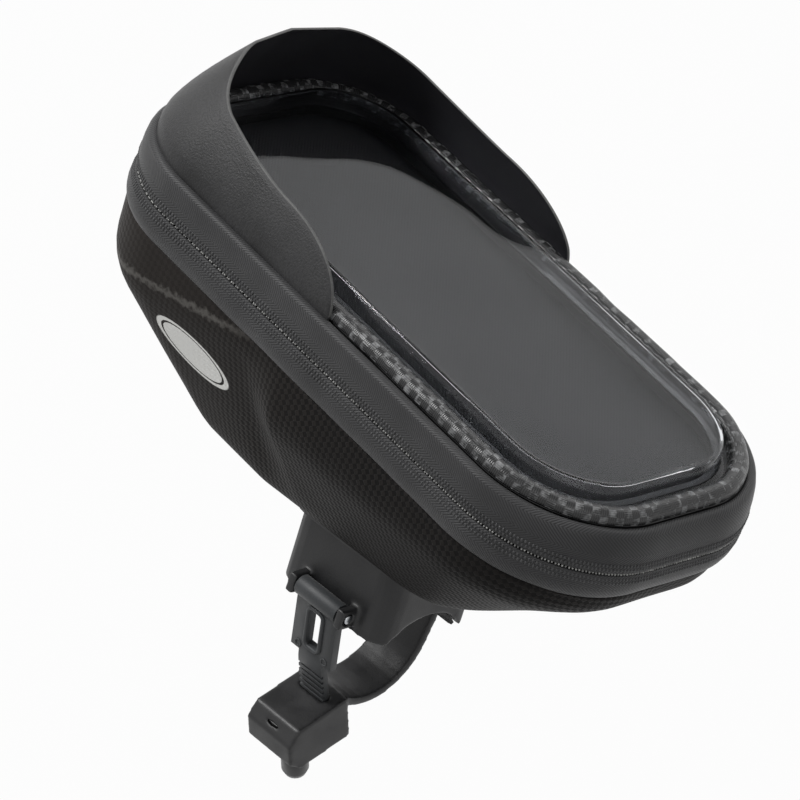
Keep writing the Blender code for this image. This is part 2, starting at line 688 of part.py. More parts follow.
def make_bracket(parent, finishes):
    arch_radius = STEM_RADIUS + PAD_THICKNESS + GAP
    arch_reach = math.sqrt(arch_radius ** 2 - (STEM_AXIS_W + CHEEK_DROP) ** 2)
    arch_start = math.atan2(-CHEEK_DROP - STEM_AXIS_W, arch_reach)
    neck = RAIL_NECK_HALF_WIDTH + GAP
    slot = RAIL_HALF_WIDTH + GAP
    lip = RAIL_TOP + GAP
    wide, long = BRACKET_HALF_WIDTH + OVERLAP, BRACKET_HALF_LENGTH + OVERLAP
    profile = [
        (-wide, BRACKET_TOP), (-neck, BRACKET_TOP), (-neck, lip), (-slot, lip),
        (-slot, SLOT_FLOOR), (slot, SLOT_FLOOR), (slot, lip), (neck, lip), (neck, BRACKET_TOP),
        (wide, BRACKET_TOP), (wide, -CHEEK_DROP),
    ] + arc(arch_radius, arch_start, math.pi - arch_start, 12) + [(-wide, -CHEEK_DROP)]
    bracket = add_piece("stem_bracket", prism(profile, -long, long), finishes["plastic"], parent)
    plan = slab(BRACKET_HALF_WIDTH, BRACKET_HALF_LENGTH, BRACKET_CORNER, -CHEEK_DROP - OVERLAP,
                BRACKET_TOP + OVERLAP)
    combine(bracket, plan, "INTERSECT")
    stop = block((-slot - OVERLAP, -BRACKET_HALF_LENGTH, SLOT_FLOOR - OVERLAP),
                 (slot + OVERLAP, -RAIL_HALF_LENGTH - GAP, BRACKET_TOP))
    combine(bracket, stop, "UNION")
    pin_x = BRACKET_HALF_WIDTH + PIN_STANDOFF
    pin_z = -PIN_DROP
    lug_start = STRAP_HEAD_HALF_WIDTH + GAP
    lugs, bores = [], []
    for side in (-1, 1):
        for end in (-1, 1):
            low_y, high_y = sorted((end * lug_start, end * (lug_start + LUG_THICKNESS)))
            low_x, high_x = sorted((side * (BRACKET_HALF_WIDTH - OVERLAP), side * (pin_x + EYE_RADIUS)))
            lugs.append(block((low_x, low_y, pin_z - EYE_RADIUS), (high_x, high_y, pin_z + EYE_RADIUS)))
        reach = lug_start + LUG_THICKNESS + OVERLAP
        bores.append(rod(PIN_RADIUS + GAP, (side * pin_x, -reach, pin_z), (side * pin_x, reach, pin_z)))
    combine(bracket, joined(lugs), "UNION")
    pocket = block(
        (-BUTTON_HALF_WIDTH - GAP, BUTTON_REAR - GAP, BUTTON_POCKET),
        (BUTTON_HALF_WIDTH + GAP, BRACKET_HALF_LENGTH + OVERLAP, SLOT_FLOOR + OVERLAP),
    )
    combine(bracket, joined([pocket] + bores), "DIFFERENCE")

    pad = arc(STEM_RADIUS + PAD_THICKNESS, math.pi / 2 - PAD_SPAN, math.pi / 2 + PAD_SPAN, 12)
    pad += list(reversed(arc(STEM_RADIUS, math.pi / 2 - PAD_SPAN, math.pi / 2 + PAD_SPAN, 12)))
    pad_half = BRACKET_HALF_LENGTH - PAD_INSET
    add_piece("saddle_pad", prism(pad, -pad_half, pad_half), finishes["rubber"], parent)
    pin_reach = lug_start + LUG_THICKNESS
    for name, side in (("left_strap_pin", -1), ("right_strap_pin", 1)):
        pin = rod(PIN_RADIUS, (side * pin_x, -pin_reach, pin_z), (side * pin_x, pin_reach, pin_z))
        add_piece(name, pin, finishes["steel"], parent)
    return pin_x


def strap_frame():
    """The straight run of the strap past the stem: its start, its direction and its outward side."""
    out = Vector((math.cos(STRAP_LEAVE), 0, math.sin(STRAP_LEAVE)))
    along = Vector((-out.z, 0, out.x))
    start = Vector((0, 0, STEM_AXIS_W)) + out * STRAP_RADIUS
    return start, along, out


def tangent_angle(pin_x):
    """Where a strap from the left eye first touches its circle about the stem."""
    dx, dz = -pin_x, -PIN_DROP - STEM_AXIS_W
    return math.atan2(dz, dx) + math.acos(STRAP_RADIUS / math.hypot(dx, dz))


def ribbon(centre_line, thickness, half_width, end_half_width=None):
    """A strap of even thickness along points in X and Z, lying across Y."""
    rings = []
    for index, point in enumerate(centre_line):
        at_end = end_half_width is not None and index == len(centre_line) - 1
        width = end_half_width if at_end else half_width
        before = Vector(centre_line[max(index - 1, 0)])
        after = Vector(centre_line[min(index + 1, len(centre_line) - 1)])
        run = (after - before).normalized()
        side = Vector((-run.y, run.x)) * thickness / 2
        near, far = Vector(point) + side, Vector(point) - side
        rings.append([
            (near.x, -width, near.y), (near.x, width, near.y),
            (far.x, width, far.y), (far.x, -width, far.y),
        ])
    return loft(rings, closed=False)


def make_strap(parent, pin_x, finishes):
    start, along, out = strap_frame()
    touch = tangent_angle(pin_x)
    eye = (-pin_x, -PIN_DROP)
    lead = arc(STRAP_RADIUS, touch, STRAP_LEAVE, 3)
    head_line = [eye] + [tuple(Vector(eye).lerp(Vector(lead[0]), share)) for share in (0.5,)] + [lead[0]]
    strap = add_piece("toothed_strap", ribbon(head_line, STRAP_THICKNESS, STRAP_HEAD_HALF_WIDTH),
                      finishes["strap"], parent)
    belt_start = Vector(eye).lerp(Vector(lead[0]), BELT_START)
    run_out = [start, start + along * (STRAP_TAIL - TAIL_TAPER), start + along * STRAP_TAIL]
    belt_line = [tuple(belt_start)] + lead[:-1] + [(point.x, point.z) for point in run_out]
    belt = ribbon(belt_line, STRAP_THICKNESS, STRAP_HALF_WIDTH, TAIL_POINT_HALF_WIDTH)
    combine(strap, belt, "UNION")
    combine(strap, rod(EYE_RADIUS, (eye[0], -STRAP_HEAD_HALF_WIDTH, eye[1]),
                       (eye[0], STRAP_HEAD_HALF_WIDTH, eye[1]), 18), "UNION")
    run = (Vector(lead[0]) - Vector(eye)).normalized()
    across = Vector((-run.y, run.x)) * STRAP_THICKNESS
    slot_start = Vector(eye) + run * (EYE_RADIUS + SLOT_START)
    slot_end = slot_start + run * SLOT_LENGTH
    corners = [slot_start - across, slot_start + across, slot_end + across, slot_end - across]
    slot = prism([tuple(corner) for corner in corners], -SLOT_HALF_WIDTH, SLOT_HALF_WIDTH)
    bore = rod(PIN_RADIUS + GAP, (eye[0], -STRAP_HEAD_HALF_WIDTH - OVERLAP, eye[1]),
               (eye[0], STRAP_HEAD_HALF_WIDTH + OVERLAP, eye[1]))
    gaps = [slot, bore]
    for index in range(int(STRAP_TAIL / TOOTH_PITCH)):
        root = start + along * (index + 1 / 3) * TOOTH_PITCH
        face = root + out * (STRAP_THICKNESS / 2)
        deep = face - out * TOOTH_HEIGHT
        high = face + out * OVERLAP
        step = along * TOOTH_PITCH * 0.45
        profile = [(p.x, p.z) for p in (high, deep, deep + step, high + step)]
        gaps.append(prism(profile, -STRAP_HALF_WIDTH - OVERLAP, STRAP_HALF_WIDTH + OVERLAP))
    combine(strap, joined(gaps), "DIFFERENCE")


def make_clamp(parent, pin_x, finishes):
    start, along, out = strap_frame()
    eye = (pin_x, -PIN_DROP)
    touch = math.pi - tangent_angle(pin_x)
    arm_line = [eye] + arc(STRAP_RADIUS, touch, ARM_END, 10)
    arm = add_piece("clamp_arm", ribbon(arm_line, STRAP_THICKNESS, STRAP_HEAD_HALF_WIDTH),
                    finishes["plastic"], parent)
    combine(arm, rod(EYE_RADIUS, (eye[0], -STRAP_HEAD_HALF_WIDTH, eye[1]),
                     (eye[0], STRAP_HEAD_HALF_WIDTH, eye[1]), 18), "UNION")
    outer = KNOB_OFFSET + WORM_RADIUS + GAP + HOUSING_WALL
    half_depth = WORM_RADIUS + GAP + HOUSING_WALL
    end = HOUSING_START + HOUSING_LENGTH
    cut = HOUSING_CHAMFER
    corners = [
        (HOUSING_START, -HOUSING_INNER), (HOUSING_START, outer - cut), (HOUSING_START + cut, outer),
        (end - cut, outer), (end, outer - cut), (end, -HOUSING_INNER),
    ]
    profile = [start + along * s + out * e for s, e in corners]
    combine(arm, prism([(p.x, p.z) for p in profile], -half_depth, half_depth), "UNION")
    clear = STRAP_THICKNESS / 2 + GAP
    before, past = HOUSING_START - OVERLAP, end + OVERLAP
    slot = [
        start + along * s + out * e
        for s, e in ((before, -clear), (before, clear), (past, clear), (past, -clear))
    ]
    slot_width = STRAP_HALF_WIDTH + GAP
    axis = start + out * KNOB_OFFSET
    worm_low, worm_high = HOUSING_START + HOUSING_WALL, end - HOUSING_WALL
    worm_bore = rod(WORM_RADIUS + GAP, axis + along * worm_low, axis + along * worm_high, 24)
    neck_bore = rod(NECK_RADIUS + GAP, axis + along * (worm_high - OVERLAP), axis + along * past, 24)
    bore = rod(PIN_RADIUS + GAP, (eye[0], -STRAP_HEAD_HALF_WIDTH - OVERLAP, eye[1]),
               (eye[0], STRAP_HEAD_HALF_WIDTH + OVERLAP, eye[1]))
    combine(arm, joined([prism([(p.x, p.z) for p in slot], -slot_width, slot_width)]), "DIFFERENCE")
    combine(arm, joined([worm_bore, bore]), "DIFFERENCE")
    combine(arm, neck_bore, "DIFFERENCE")

    worm_start, worm_end = worm_low + GAP, worm_high - GAP
    knob_frame = make_empty("tension_knob_axis", axis, parent=parent)
    grip_start = end + 2 * GAP
    grip_end = grip_start + KNOB_LENGTH
    profile = [
        (worm_start, WORM_RADIUS), (worm_end, WORM_RADIUS), (worm_end, NECK_RADIUS),
        (grip_start, NECK_RADIUS), (grip_start, KNOB_RADIUS - EDGE_EASE),
        (grip_start + EDGE_EASE, KNOB_RADIUS), (grip_end - KNOB_NOSE, KNOB_RADIUS),
        (grip_end - KNOB_NOSE * 0.35, KNOB_RADIUS * 0.8), (grip_end, KNOB_RADIUS * 0.45),
    ]
    add_piece("tension_knob", turned(profile, (0, 0, 0), along, 24), finishes["knob"], knob_frame)


def make_button(parent, finishes):
    top, low = BUTTON_TOP, BUTTON_LOW
    tooth = RAIL_HALF_LENGTH + GAP
    profile = [
        (BUTTON_REAR, low), (BUTTON_FRONT, low), (BUTTON_FRONT, top - EDGE_EASE),
        (BUTTON_FRONT - EDGE_EASE, top), (tooth + TOOTH_LENGTH, top), (tooth, SLOT_FLOOR),
        (tooth - TOOTH_LENGTH, top), (BUTTON_REAR, top),
    ]
    rings = [[(x, y, z) for y, z in profile] for x in (-BUTTON_HALF_WIDTH, BUTTON_HALF_WIDTH)]
    add_piece("release_button", loft(rings, closed=False), finishes["knob"], parent, smooth=False)
    spring_y = (BUTTON_REAR + BRACKET_HALF_LENGTH) / 2
    foot = BUTTON_POCKET + GAP + SPRING_WIRE
    rise = low - GAP - SPRING_WIRE - foot
    rings = []
    steps = 40
    for step in range(steps + 1):
        angle = math.tau * SPRING_TURNS * step / steps
        outward = Vector((math.cos(angle), math.sin(angle), 0))
        centre = outward * SPRING_RADIUS + Vector((0, spring_y, foot + rise * step / steps))
        rings.append([
            centre + SPRING_WIRE * (outward * math.cos(turn) + Vector((0, 0, 1)) * math.sin(turn))
            for turn in (math.tau * corner / 6 for corner in range(6))
        ])
    add_piece("release_spring", loft(rings, closed=False), finishes["steel"], parent)


# Zip slider

def make_zip_pull(ring_frame, finishes):
    """The slider rides outside the tapes on the right, its neck in the slot between them."""
    face = RING_HALF_WIDTH + TAPE_OUTER + TAPE_SWELL + GAP
    slider_frame = make_empty("zip_slider_frame", (face, SLIDER_Y, -ZIP_DROP), parent=ring_frame)
    half = SLIDER_LENGTH / 2
    body = [
        (-half, -SLIDER_HALF_HEIGHT * 0.6), (half * 0.3, -SLIDER_HALF_HEIGHT), (half, -SLIDER_HALF_HEIGHT),
        (half, SLIDER_HALF_HEIGHT), (half * 0.3, SLIDER_HALF_HEIGHT), (-half, SLIDER_HALF_HEIGHT * 0.6),
    ]
    rings = [[(x, y, z) for y, z in body] for x in (0, SLIDER_THICKNESS)]
    slider = add_piece("zip_slider", loft(rings, closed=False), finishes["metal"], slider_frame)
    inner = BAND_OFFSET - TAPE_OUTER - TAPE_SWELL - GAP
    edge = NECK_THICKNESS / 2
    neck = block((inner, -half * 0.6, -edge), (SLIDER_THICKNESS / 2, half * 0.6, edge))
    combine(slider, neck, "UNION")
    rings = []
    steps = 10
    for step in range(steps + 1):
        angle = math.pi * step / steps
        outward = Vector((math.sin(angle), 0, math.cos(angle)))
        centre = outward * BAIL_RADIUS + Vector((SLIDER_THICKNESS - GAP, 0, 0))
        rings.append([
            centre + BAIL_WIRE * (outward * math.cos(turn) + Vector((0, 1, 0)) * math.sin(turn))
            for turn in (math.tau * corner / 8 for corner in range(8))
        ])
    combine(slider, loft(rings, closed=False), "UNION")

    hang = SLIDER_THICKNESS + GAP + PULLER_THICKNESS / 2
    pull_frame = make_empty("zip_puller_axis", (hang, 0, 0), parent=slider_frame)
    puller = add_piece("zip_puller", puller_mesh(), finishes["rubber"], pull_frame)
    clear = BAIL_WIRE + GAP
    window = block((-PULLER_THICKNESS, -clear, -BAIL_RADIUS - BAIL_WIRE - 2 * GAP),
                   (PULLER_THICKNESS, clear, -PULLER_THICKNESS / 2))
    combine(puller, window, "DIFFERENCE")


def puller_mesh():
    """A flat tongue whose top bar lies inside the bail, round at its foot."""
    half = PULLER_HALF_WIDTH
    top = PULLER_THICKNESS / 2
    foot = top - PULLER_LENGTH + half
    points = [(half, top)] + [
        (half * math.cos(angle), foot - half * math.sin(angle))
        for angle in (math.pi * step / 8 for step in range(9))
    ] + [(-half, top)]
    return loft([[(x, y, z) for y, z in points] for x in (-top, top)], closed=False)


def main():
    clear_scene()
    finishes = {
        "shell": finish("embossed_eva_shell", (0.012, 0.011, 0.010), 0.45),
        "foam": finish("eva_foam", (0.010, 0.010, 0.011), 0.8),
        "tape": finish("laminated_zip_tape", (0.030, 0.030, 0.031), 0.6),
        "coil": finish("nylon_coil", (0.008, 0.008, 0.008), 0.4),
        "gloss": finish("gloss_border", (0.005, 0.005, 0.005), 0.15),
        "carbon": finish("carbon_look_piping", (0.020, 0.020, 0.020), 0.25),
        "film": finish("clear_film", (0.9, 0.9, 0.9), 0.08, alpha=0.25),
        "hood": finish("matte_hood_sheet", (0.022, 0.022, 0.023), 0.7),
        "lining": finish("lining_fabric", (0.008, 0.008, 0.009), 0.9),
        "touch": finish("touch_tape", (0.010, 0.010, 0.010), 0.95),
        "plastic": finish("black_nylon", (0.012, 0.012, 0.013), 0.45),
        "knob": finish("black_knob_plastic", (0.010, 0.010, 0.010), 0.4),
        "strap": finish("strap_elastomer", (0.020, 0.021, 0.022), 0.55),
        "rubber": finish("black_rubber", (0.010, 0.010, 0.010), 0.75),
        "steel": finish("zinc_plated_steel", (0.55, 0.55, 0.56), 0.35, metallic=1.0),
        "metal": finish("black_nickel", (0.06, 0.06, 0.065), 0.35, metallic=1.0),
    }
    stem_frame = make_empty("stem_frame", (0, 0, 0), tilt=-LAND_TILT)
    ring_frame = make_empty("ring_frame", RING_CENTRE)
    lid_frame = make_empty("lid_hinge_axis", LID_AXIS, parent=ring_frame)
    make_lid(lid_frame, finishes)
    make_bag(ring_frame, stem_frame, finishes)
    pin_x = make_bracket(stem_frame, finishes)
    make_strap(stem_frame, pin_x, finishes)
    make_clamp(stem_frame, pin_x, finishes)
    make_button(stem_frame, finishes)
    make_zip_pull(ring_frame, finishes)


main()
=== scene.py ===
# Handlebar phone pouch: a zipped wedge with a clear window and a sun hood, on a strap-on stem bracket.
# Metres, +Z square to the lid, +Y towards the hood, +X to the rider's right.
import math

import bmesh
import bpy
from mathutils import Matrix, Vector, noise


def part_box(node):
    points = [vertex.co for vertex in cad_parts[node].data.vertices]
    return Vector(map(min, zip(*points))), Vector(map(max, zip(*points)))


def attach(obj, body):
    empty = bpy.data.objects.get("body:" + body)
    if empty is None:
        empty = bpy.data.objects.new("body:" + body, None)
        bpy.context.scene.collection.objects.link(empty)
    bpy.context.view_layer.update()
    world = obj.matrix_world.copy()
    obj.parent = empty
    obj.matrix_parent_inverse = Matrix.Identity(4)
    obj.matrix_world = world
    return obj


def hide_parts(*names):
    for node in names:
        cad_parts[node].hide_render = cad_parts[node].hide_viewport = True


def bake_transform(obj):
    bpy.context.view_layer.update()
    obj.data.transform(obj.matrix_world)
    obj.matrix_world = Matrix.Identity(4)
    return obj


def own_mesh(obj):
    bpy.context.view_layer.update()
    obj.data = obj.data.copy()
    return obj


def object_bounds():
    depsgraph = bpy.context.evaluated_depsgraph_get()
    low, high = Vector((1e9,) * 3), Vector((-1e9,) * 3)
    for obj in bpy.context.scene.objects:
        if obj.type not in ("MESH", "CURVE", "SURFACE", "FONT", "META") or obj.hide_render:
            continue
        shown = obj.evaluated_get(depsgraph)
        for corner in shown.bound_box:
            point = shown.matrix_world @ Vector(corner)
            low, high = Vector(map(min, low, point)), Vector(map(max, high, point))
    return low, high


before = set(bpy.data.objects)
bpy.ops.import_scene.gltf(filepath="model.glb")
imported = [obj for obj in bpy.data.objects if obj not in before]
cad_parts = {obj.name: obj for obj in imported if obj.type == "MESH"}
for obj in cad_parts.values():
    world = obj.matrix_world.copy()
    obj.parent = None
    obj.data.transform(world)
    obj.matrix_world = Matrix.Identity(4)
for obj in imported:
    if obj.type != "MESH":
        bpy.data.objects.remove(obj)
cadBounds = [list(corner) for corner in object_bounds()]
print("frame loaded:", len(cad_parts), "nodes")

mm = 0.001
noise.seed_set(11)                                # noise_vector draws its offsets anew without it

# ring: the line where the piping meets the zip band. Offsets count outwards, drops count down.
ring = {
    "halfLength": 100 * mm, "halfWidth": 50 * mm,
    "frontRadius": 33 * mm, "nearRadius": 37 * mm,
    "flare": 3 * mm, "flareFoot": 30 * mm,        # how the near end swells at the zip
    "zipDrop": 12.5 * mm, "frameOffset": 0.7 * mm, "frameTopDrop": 0.5 * mm,
    "cornerSteps": 26, "sideSteps": 46, "endSteps": 8,
}
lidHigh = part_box("lid_frame")[1]
ringCentre = Vector((0, lidHigh.y - ring["frameOffset"] - ring["halfLength"],
                     lidHigh.z + ring["frameTopDrop"]))
stemTilt = math.radians(8)                        # the stem, nose down against the lid


def arc(x, y, radius, angles):
    # points and outward directions round a corner
    return [(x + radius * across, y + radius * along, across, along)
            for across, along in ((math.cos(angle), math.sin(angle)) for angle in angles)]


def outline(halfWidth, front, near, frontRadius, nearRadius, endStart=0.0):
    # points and outward directions of a rounded rectangle, clockwise from the front's middle
    corners, sides, ends = ring["cornerSteps"], ring["sideSteps"], ring["endSteps"]
    right = [(endStart + (halfWidth - frontRadius - endStart) * step / ends, front, 0.0, 1.0)
             for step in range(ends)]
    right += arc(halfWidth - frontRadius, front - frontRadius, frontRadius,
                 [math.pi / 2 * (1 - step / corners) for step in range(corners + 1)])
    for share in (step / sides for step in range(1, sides)):
        right.append((halfWidth, (front - frontRadius) * (1 - share) + (near + nearRadius) * share,
                      1.0, 0.0))
    right += arc(halfWidth - nearRadius, near + nearRadius, nearRadius,
                 [-math.pi / 2 * step / corners for step in range(corners + 1)])
    right += [((halfWidth - nearRadius) * (1 - step / ends), near, 0.0, -1.0)
              for step in range(1, ends + 1)]
    first = 1 if endStart == 0 else 0
    return right + [(-x, y, -nx, ny) for x, y, nx, ny in reversed(right[first:-1])]


def ringStations(endStart=0.0):
    return outline(ring["halfWidth"], ring["halfLength"], -ring["halfLength"],
                   ring["frontRadius"], ring["nearRadius"], endStart)


def place(station, offset, drop):
    # a point out from the ring and down from it, in the world
    x, y, nx, ny = station
    depth = min(drop / ring["zipDrop"],
                (ring["flareFoot"] - drop) / (ring["flareFoot"] - ring["zipDrop"]))
    reach = offset + ring["flare"] * max(0.0, -ny) ** 1.5 * max(0.0, depth)
    return ringCentre + Vector((x + nx * reach, y + ny * reach, -drop))


def stemPoint(x, y, z):
    # a point given in the tilted frame of the stem
    return Matrix.Rotation(-stemTilt, 3, "X") @ Vector((x, y, z))


def linear(hexColour):
    # sRGB hex to the linear values that sockets take
    channels = [int(hexColour[i:i + 2], 16) / 255 for i in (1, 3, 5)]
    return (*[c / 12.92 if c <= 0.04045 else ((c + 0.055) / 1.055) ** 2.4 for c in channels], 1.0)


def addNode(tree, kind, inputs=None, **settings):
    # makes a node, sets or links its inputs and gives its outputs
    node = tree.nodes.new(kind)
    for name, value in settings.items():
        setattr(node, name, value)
    for key, value in (inputs or {}).items():
        if isinstance(value, bpy.types.NodeSocket):
            tree.links.new(value, node.inputs[key])
        else:
            node.inputs[key].default_value = value
    return node.outputs


def newMaterial(name, settings):
    # a Principled material with the even numbers set on its own sockets
    material = bpy.data.materials.new(name)
    material.use_nodes = True
    shader = material.node_tree.nodes["Principled BSDF"]
    for key, value in settings.items():
        if key in shader.inputs:
            shader.inputs[key].default_value = value
    shader.inputs["Base Color"].default_value = linear(settings["dark"])
    return material, material.node_tree, shader


def finishSurface(tree, shader, settings, height, blend):
    # colour from dark to light along blend, and bump from height in metres
    colour = addNode(tree, "ShaderNodeMix", {0: blend, 6: linear(settings["dark"]),
                                             7: linear(settings["light"])}, data_type="RGBA")
    tree.links.new(colour[2], shader.inputs["Base Color"])
    bump = addNode(tree, "ShaderNodeBump", {"Height": height, "Distance": settings["depth"]})
    tree.links.new(bump[0], shader.inputs["Normal"])


def uvParts(tree):
    # distance along and across a piece, in metres, from its own UV map
    uv = addNode(tree, "ShaderNodeUVMap", uv_map="skin")[0]
    parts = addNode(tree, "ShaderNodeSeparateXYZ", {0: uv})
    return uv, parts[0], parts[1]


def sineWave(tree, distance, pitch):
    # a wave of this pitch along a distance in metres
    phase = addNode(tree, "ShaderNodeMath", {0: distance, 1: math.tau / pitch}, operation="MULTIPLY")
    return addNode(tree, "ShaderNodeMath", {0: phase[0]}, operation="SINE")[0]


def objectNoise(tree, size, detail=2.0, roughness=0.5):
    # noise on Object coordinates whose grains are about this size in metres
    where = addNode(tree, "ShaderNodeTexCoord")["Object"]
    return addNode(tree, "ShaderNodeTexNoise", {"Vector": where, "Scale": 1 / size, "Detail": detail,
                                                "Roughness": roughness})[0]


def grainyFinish(name, settings):
    # any even material with a moulded, cast or rolled grain: grain size and patch size in metres
    material, tree, shader = newMaterial(name, settings)
    grain = objectNoise(tree, settings["grain"], 3.0, 0.6)
    patches = objectNoise(tree, settings["patch"])
    mixed = addNode(tree, "ShaderNodeMath", {0: grain, 1: patches}, operation="MULTIPLY")[0]
    low, high = settings.get("toneRange", (0.12, 0.42))
    spread = addNode(tree, "ShaderNodeMapRange", {"Value": mixed, "From Min": low, "From Max": high})
    finishSurface(tree, shader, settings, grain, spread[0])
    rough = addNode(tree, "ShaderNodeMapRange", {
        "Value": patches, "From Min": 0.3, "From Max": 0.7,
        "To Min": settings["Roughness"] - settings["roughSpread"],
        "To Max": settings["Roughness"] + settings["roughSpread"]})
    tree.links.new(rough[0], shader.inputs["Roughness"])
    return material


# moulded glass-filled nylon: near black, fine spark-eroded texture, dull highlights
mouldedNylon = grainyFinish("mouldedNylon", {
    "dark": "#121213", "light": "#1f1f20", "Roughness": 0.46, "roughSpread": 0.08, "IOR": 1.53,
    "Specular IOR Level": 0.35,
    "grain": 0.45 * mm, "patch": 9 * mm, "depth": 0.04 * mm})
# acetal knob and button: smoother and a little shinier than the bracket
satinAcetal = grainyFinish("satinAcetal", {
    "dark": "#111112", "light": "#1c1c1d", "Roughness": 0.34, "roughSpread": 0.06, "IOR": 1.48,
    "Specular IOR Level": 0.4,
    "grain": 0.6 * mm, "patch": 6 * mm, "depth": 0.02 * mm})
# moulded thermoplastic elastomer of the strap: dark grey, satin, with a faint bloom
strapElastomer = grainyFinish("strapElastomer", {
    "dark": "#242628", "light": "#323436", "Roughness": 0.5, "roughSpread": 0.07, "IOR": 1.5,
    "Specular IOR Level": 0.35,
    "Sheen Weight": 0.08, "Sheen Roughness": 0.5,
    "grain": 0.5 * mm, "patch": 7 * mm, "depth": 0.025 * mm})
# soft black rubber: matte and even, with dust in its pores
softRubber = grainyFinish("softRubber", {
    "dark": "#171717", "light": "#262626", "Roughness": 0.72, "roughSpread": 0.08, "IOR": 1.52,
    "grain": 0.6 * mm, "patch": 5 * mm, "depth": 0.05 * mm})
# zinc-plated steel of screws, pins and spring: pale grey with a slightly blue, cloudy plate
zincPlate = grainyFinish("zincPlate", {
    "dark": "#9b9ea2", "light": "#c4c6c8", "Roughness": 0.32, "roughSpread": 0.1, "Metallic": 1.0,
    "grain": 0.3 * mm, "patch": 2 * mm, "depth": 0.01 * mm})
# black-nickel plated zinc of the slider: dark metal that still mirrors the room
blackNickel = grainyFinish("blackNickel", {
    "dark": "#3a3a3c", "light": "#505153", "Roughness": 0.28, "roughSpread": 0.08, "Metallic": 1.0,
    "grain": 0.4 * mm, "patch": 3 * mm, "depth": 0.012 * mm})
# closed-cell EVA foam of the lid frame: matte, with the pores of a cut block
evaFoam = grainyFinish("evaFoam", {
    "dark": "#080808", "light": "#101010", "Roughness": 0.85, "roughSpread": 0.06, "IOR": 1.48,
    "Specular IOR Level": 0.15,
    "grain": 0.5 * mm, "patch": 8 * mm, "depth": 0.08 * mm})
# extruded nylon coil, very small: mid grey, with pale grey as a painted highlight where it takes the light
nylonCoil = grainyFinish("nylonCoil", {
    "dark": "#5c5c5b", "light": "#c4c4c1", "Roughness": 0.35, "roughSpread": 0.06, "IOR": 1.53,
    "grain": 1.6 * mm, "patch": 5 * mm, "depth": 0.01 * mm})
# the coil's wires under the tape's film: its own grey, made lighter than the tape as a painted highlight on
# their crowns
coilCrown = grainyFinish("coilCrown", {
    "dark": "#2c2c2d", "light": "#474748", "Roughness": 0.42, "roughSpread": 0.06, "IOR": 1.5,
    "Specular IOR Level": 0.3, "grain": 0.8 * mm, "patch": 12 * mm, "depth": 0.01 * mm})
# calendered PVC border under the piping: black gloss
glossBorder = grainyFinish("glossBorder", {
    "dark": "#0b0b0c", "light": "#131314", "Roughness": 0.16, "roughSpread": 0.05, "IOR": 1.54,
    "Specular IOR Level": 0.35, "grain": 1.2 * mm, "patch": 12 * mm, "depth": 0.02 * mm})
# laminated hood board: charcoal outside with a fine matte grain that brightens where light grazes it
hoodOuter = grainyFinish("hoodOuter", {
    "dark": "#080809", "light": "#252526", "Roughness": 0.5, "roughSpread": 0.05, "IOR": 1.5,
    "Specular IOR Level": 0.3,
    "Sheen Weight": 0.15, "Sheen Roughness": 0.4,
    "grain": 0.6 * mm, "patch": 24 * mm, "depth": 0.19 * mm, "toneRange": (0.16, 0.36)})
# the hood's inner face: the same board, smoother and a little blue
hoodInner = grainyFinish("hoodInner", {
    "dark": "#151518", "light": "#1f1f24", "Roughness": 0.5, "roughSpread": 0.05, "IOR": 1.5,
    "grain": 0.5 * mm, "patch": 30 * mm, "depth": 0.03 * mm})
# the hood's cut edge: the board's paler core
hoodEdge = grainyFinish("hoodEdge", {
    "dark": "#3a3a3a", "light": "#5a5a59", "Roughness": 0.6, "roughSpread": 0.05, "IOR": 1.5,
    "grain": 0.5 * mm, "patch": 8 * mm, "depth": 0.04 * mm})


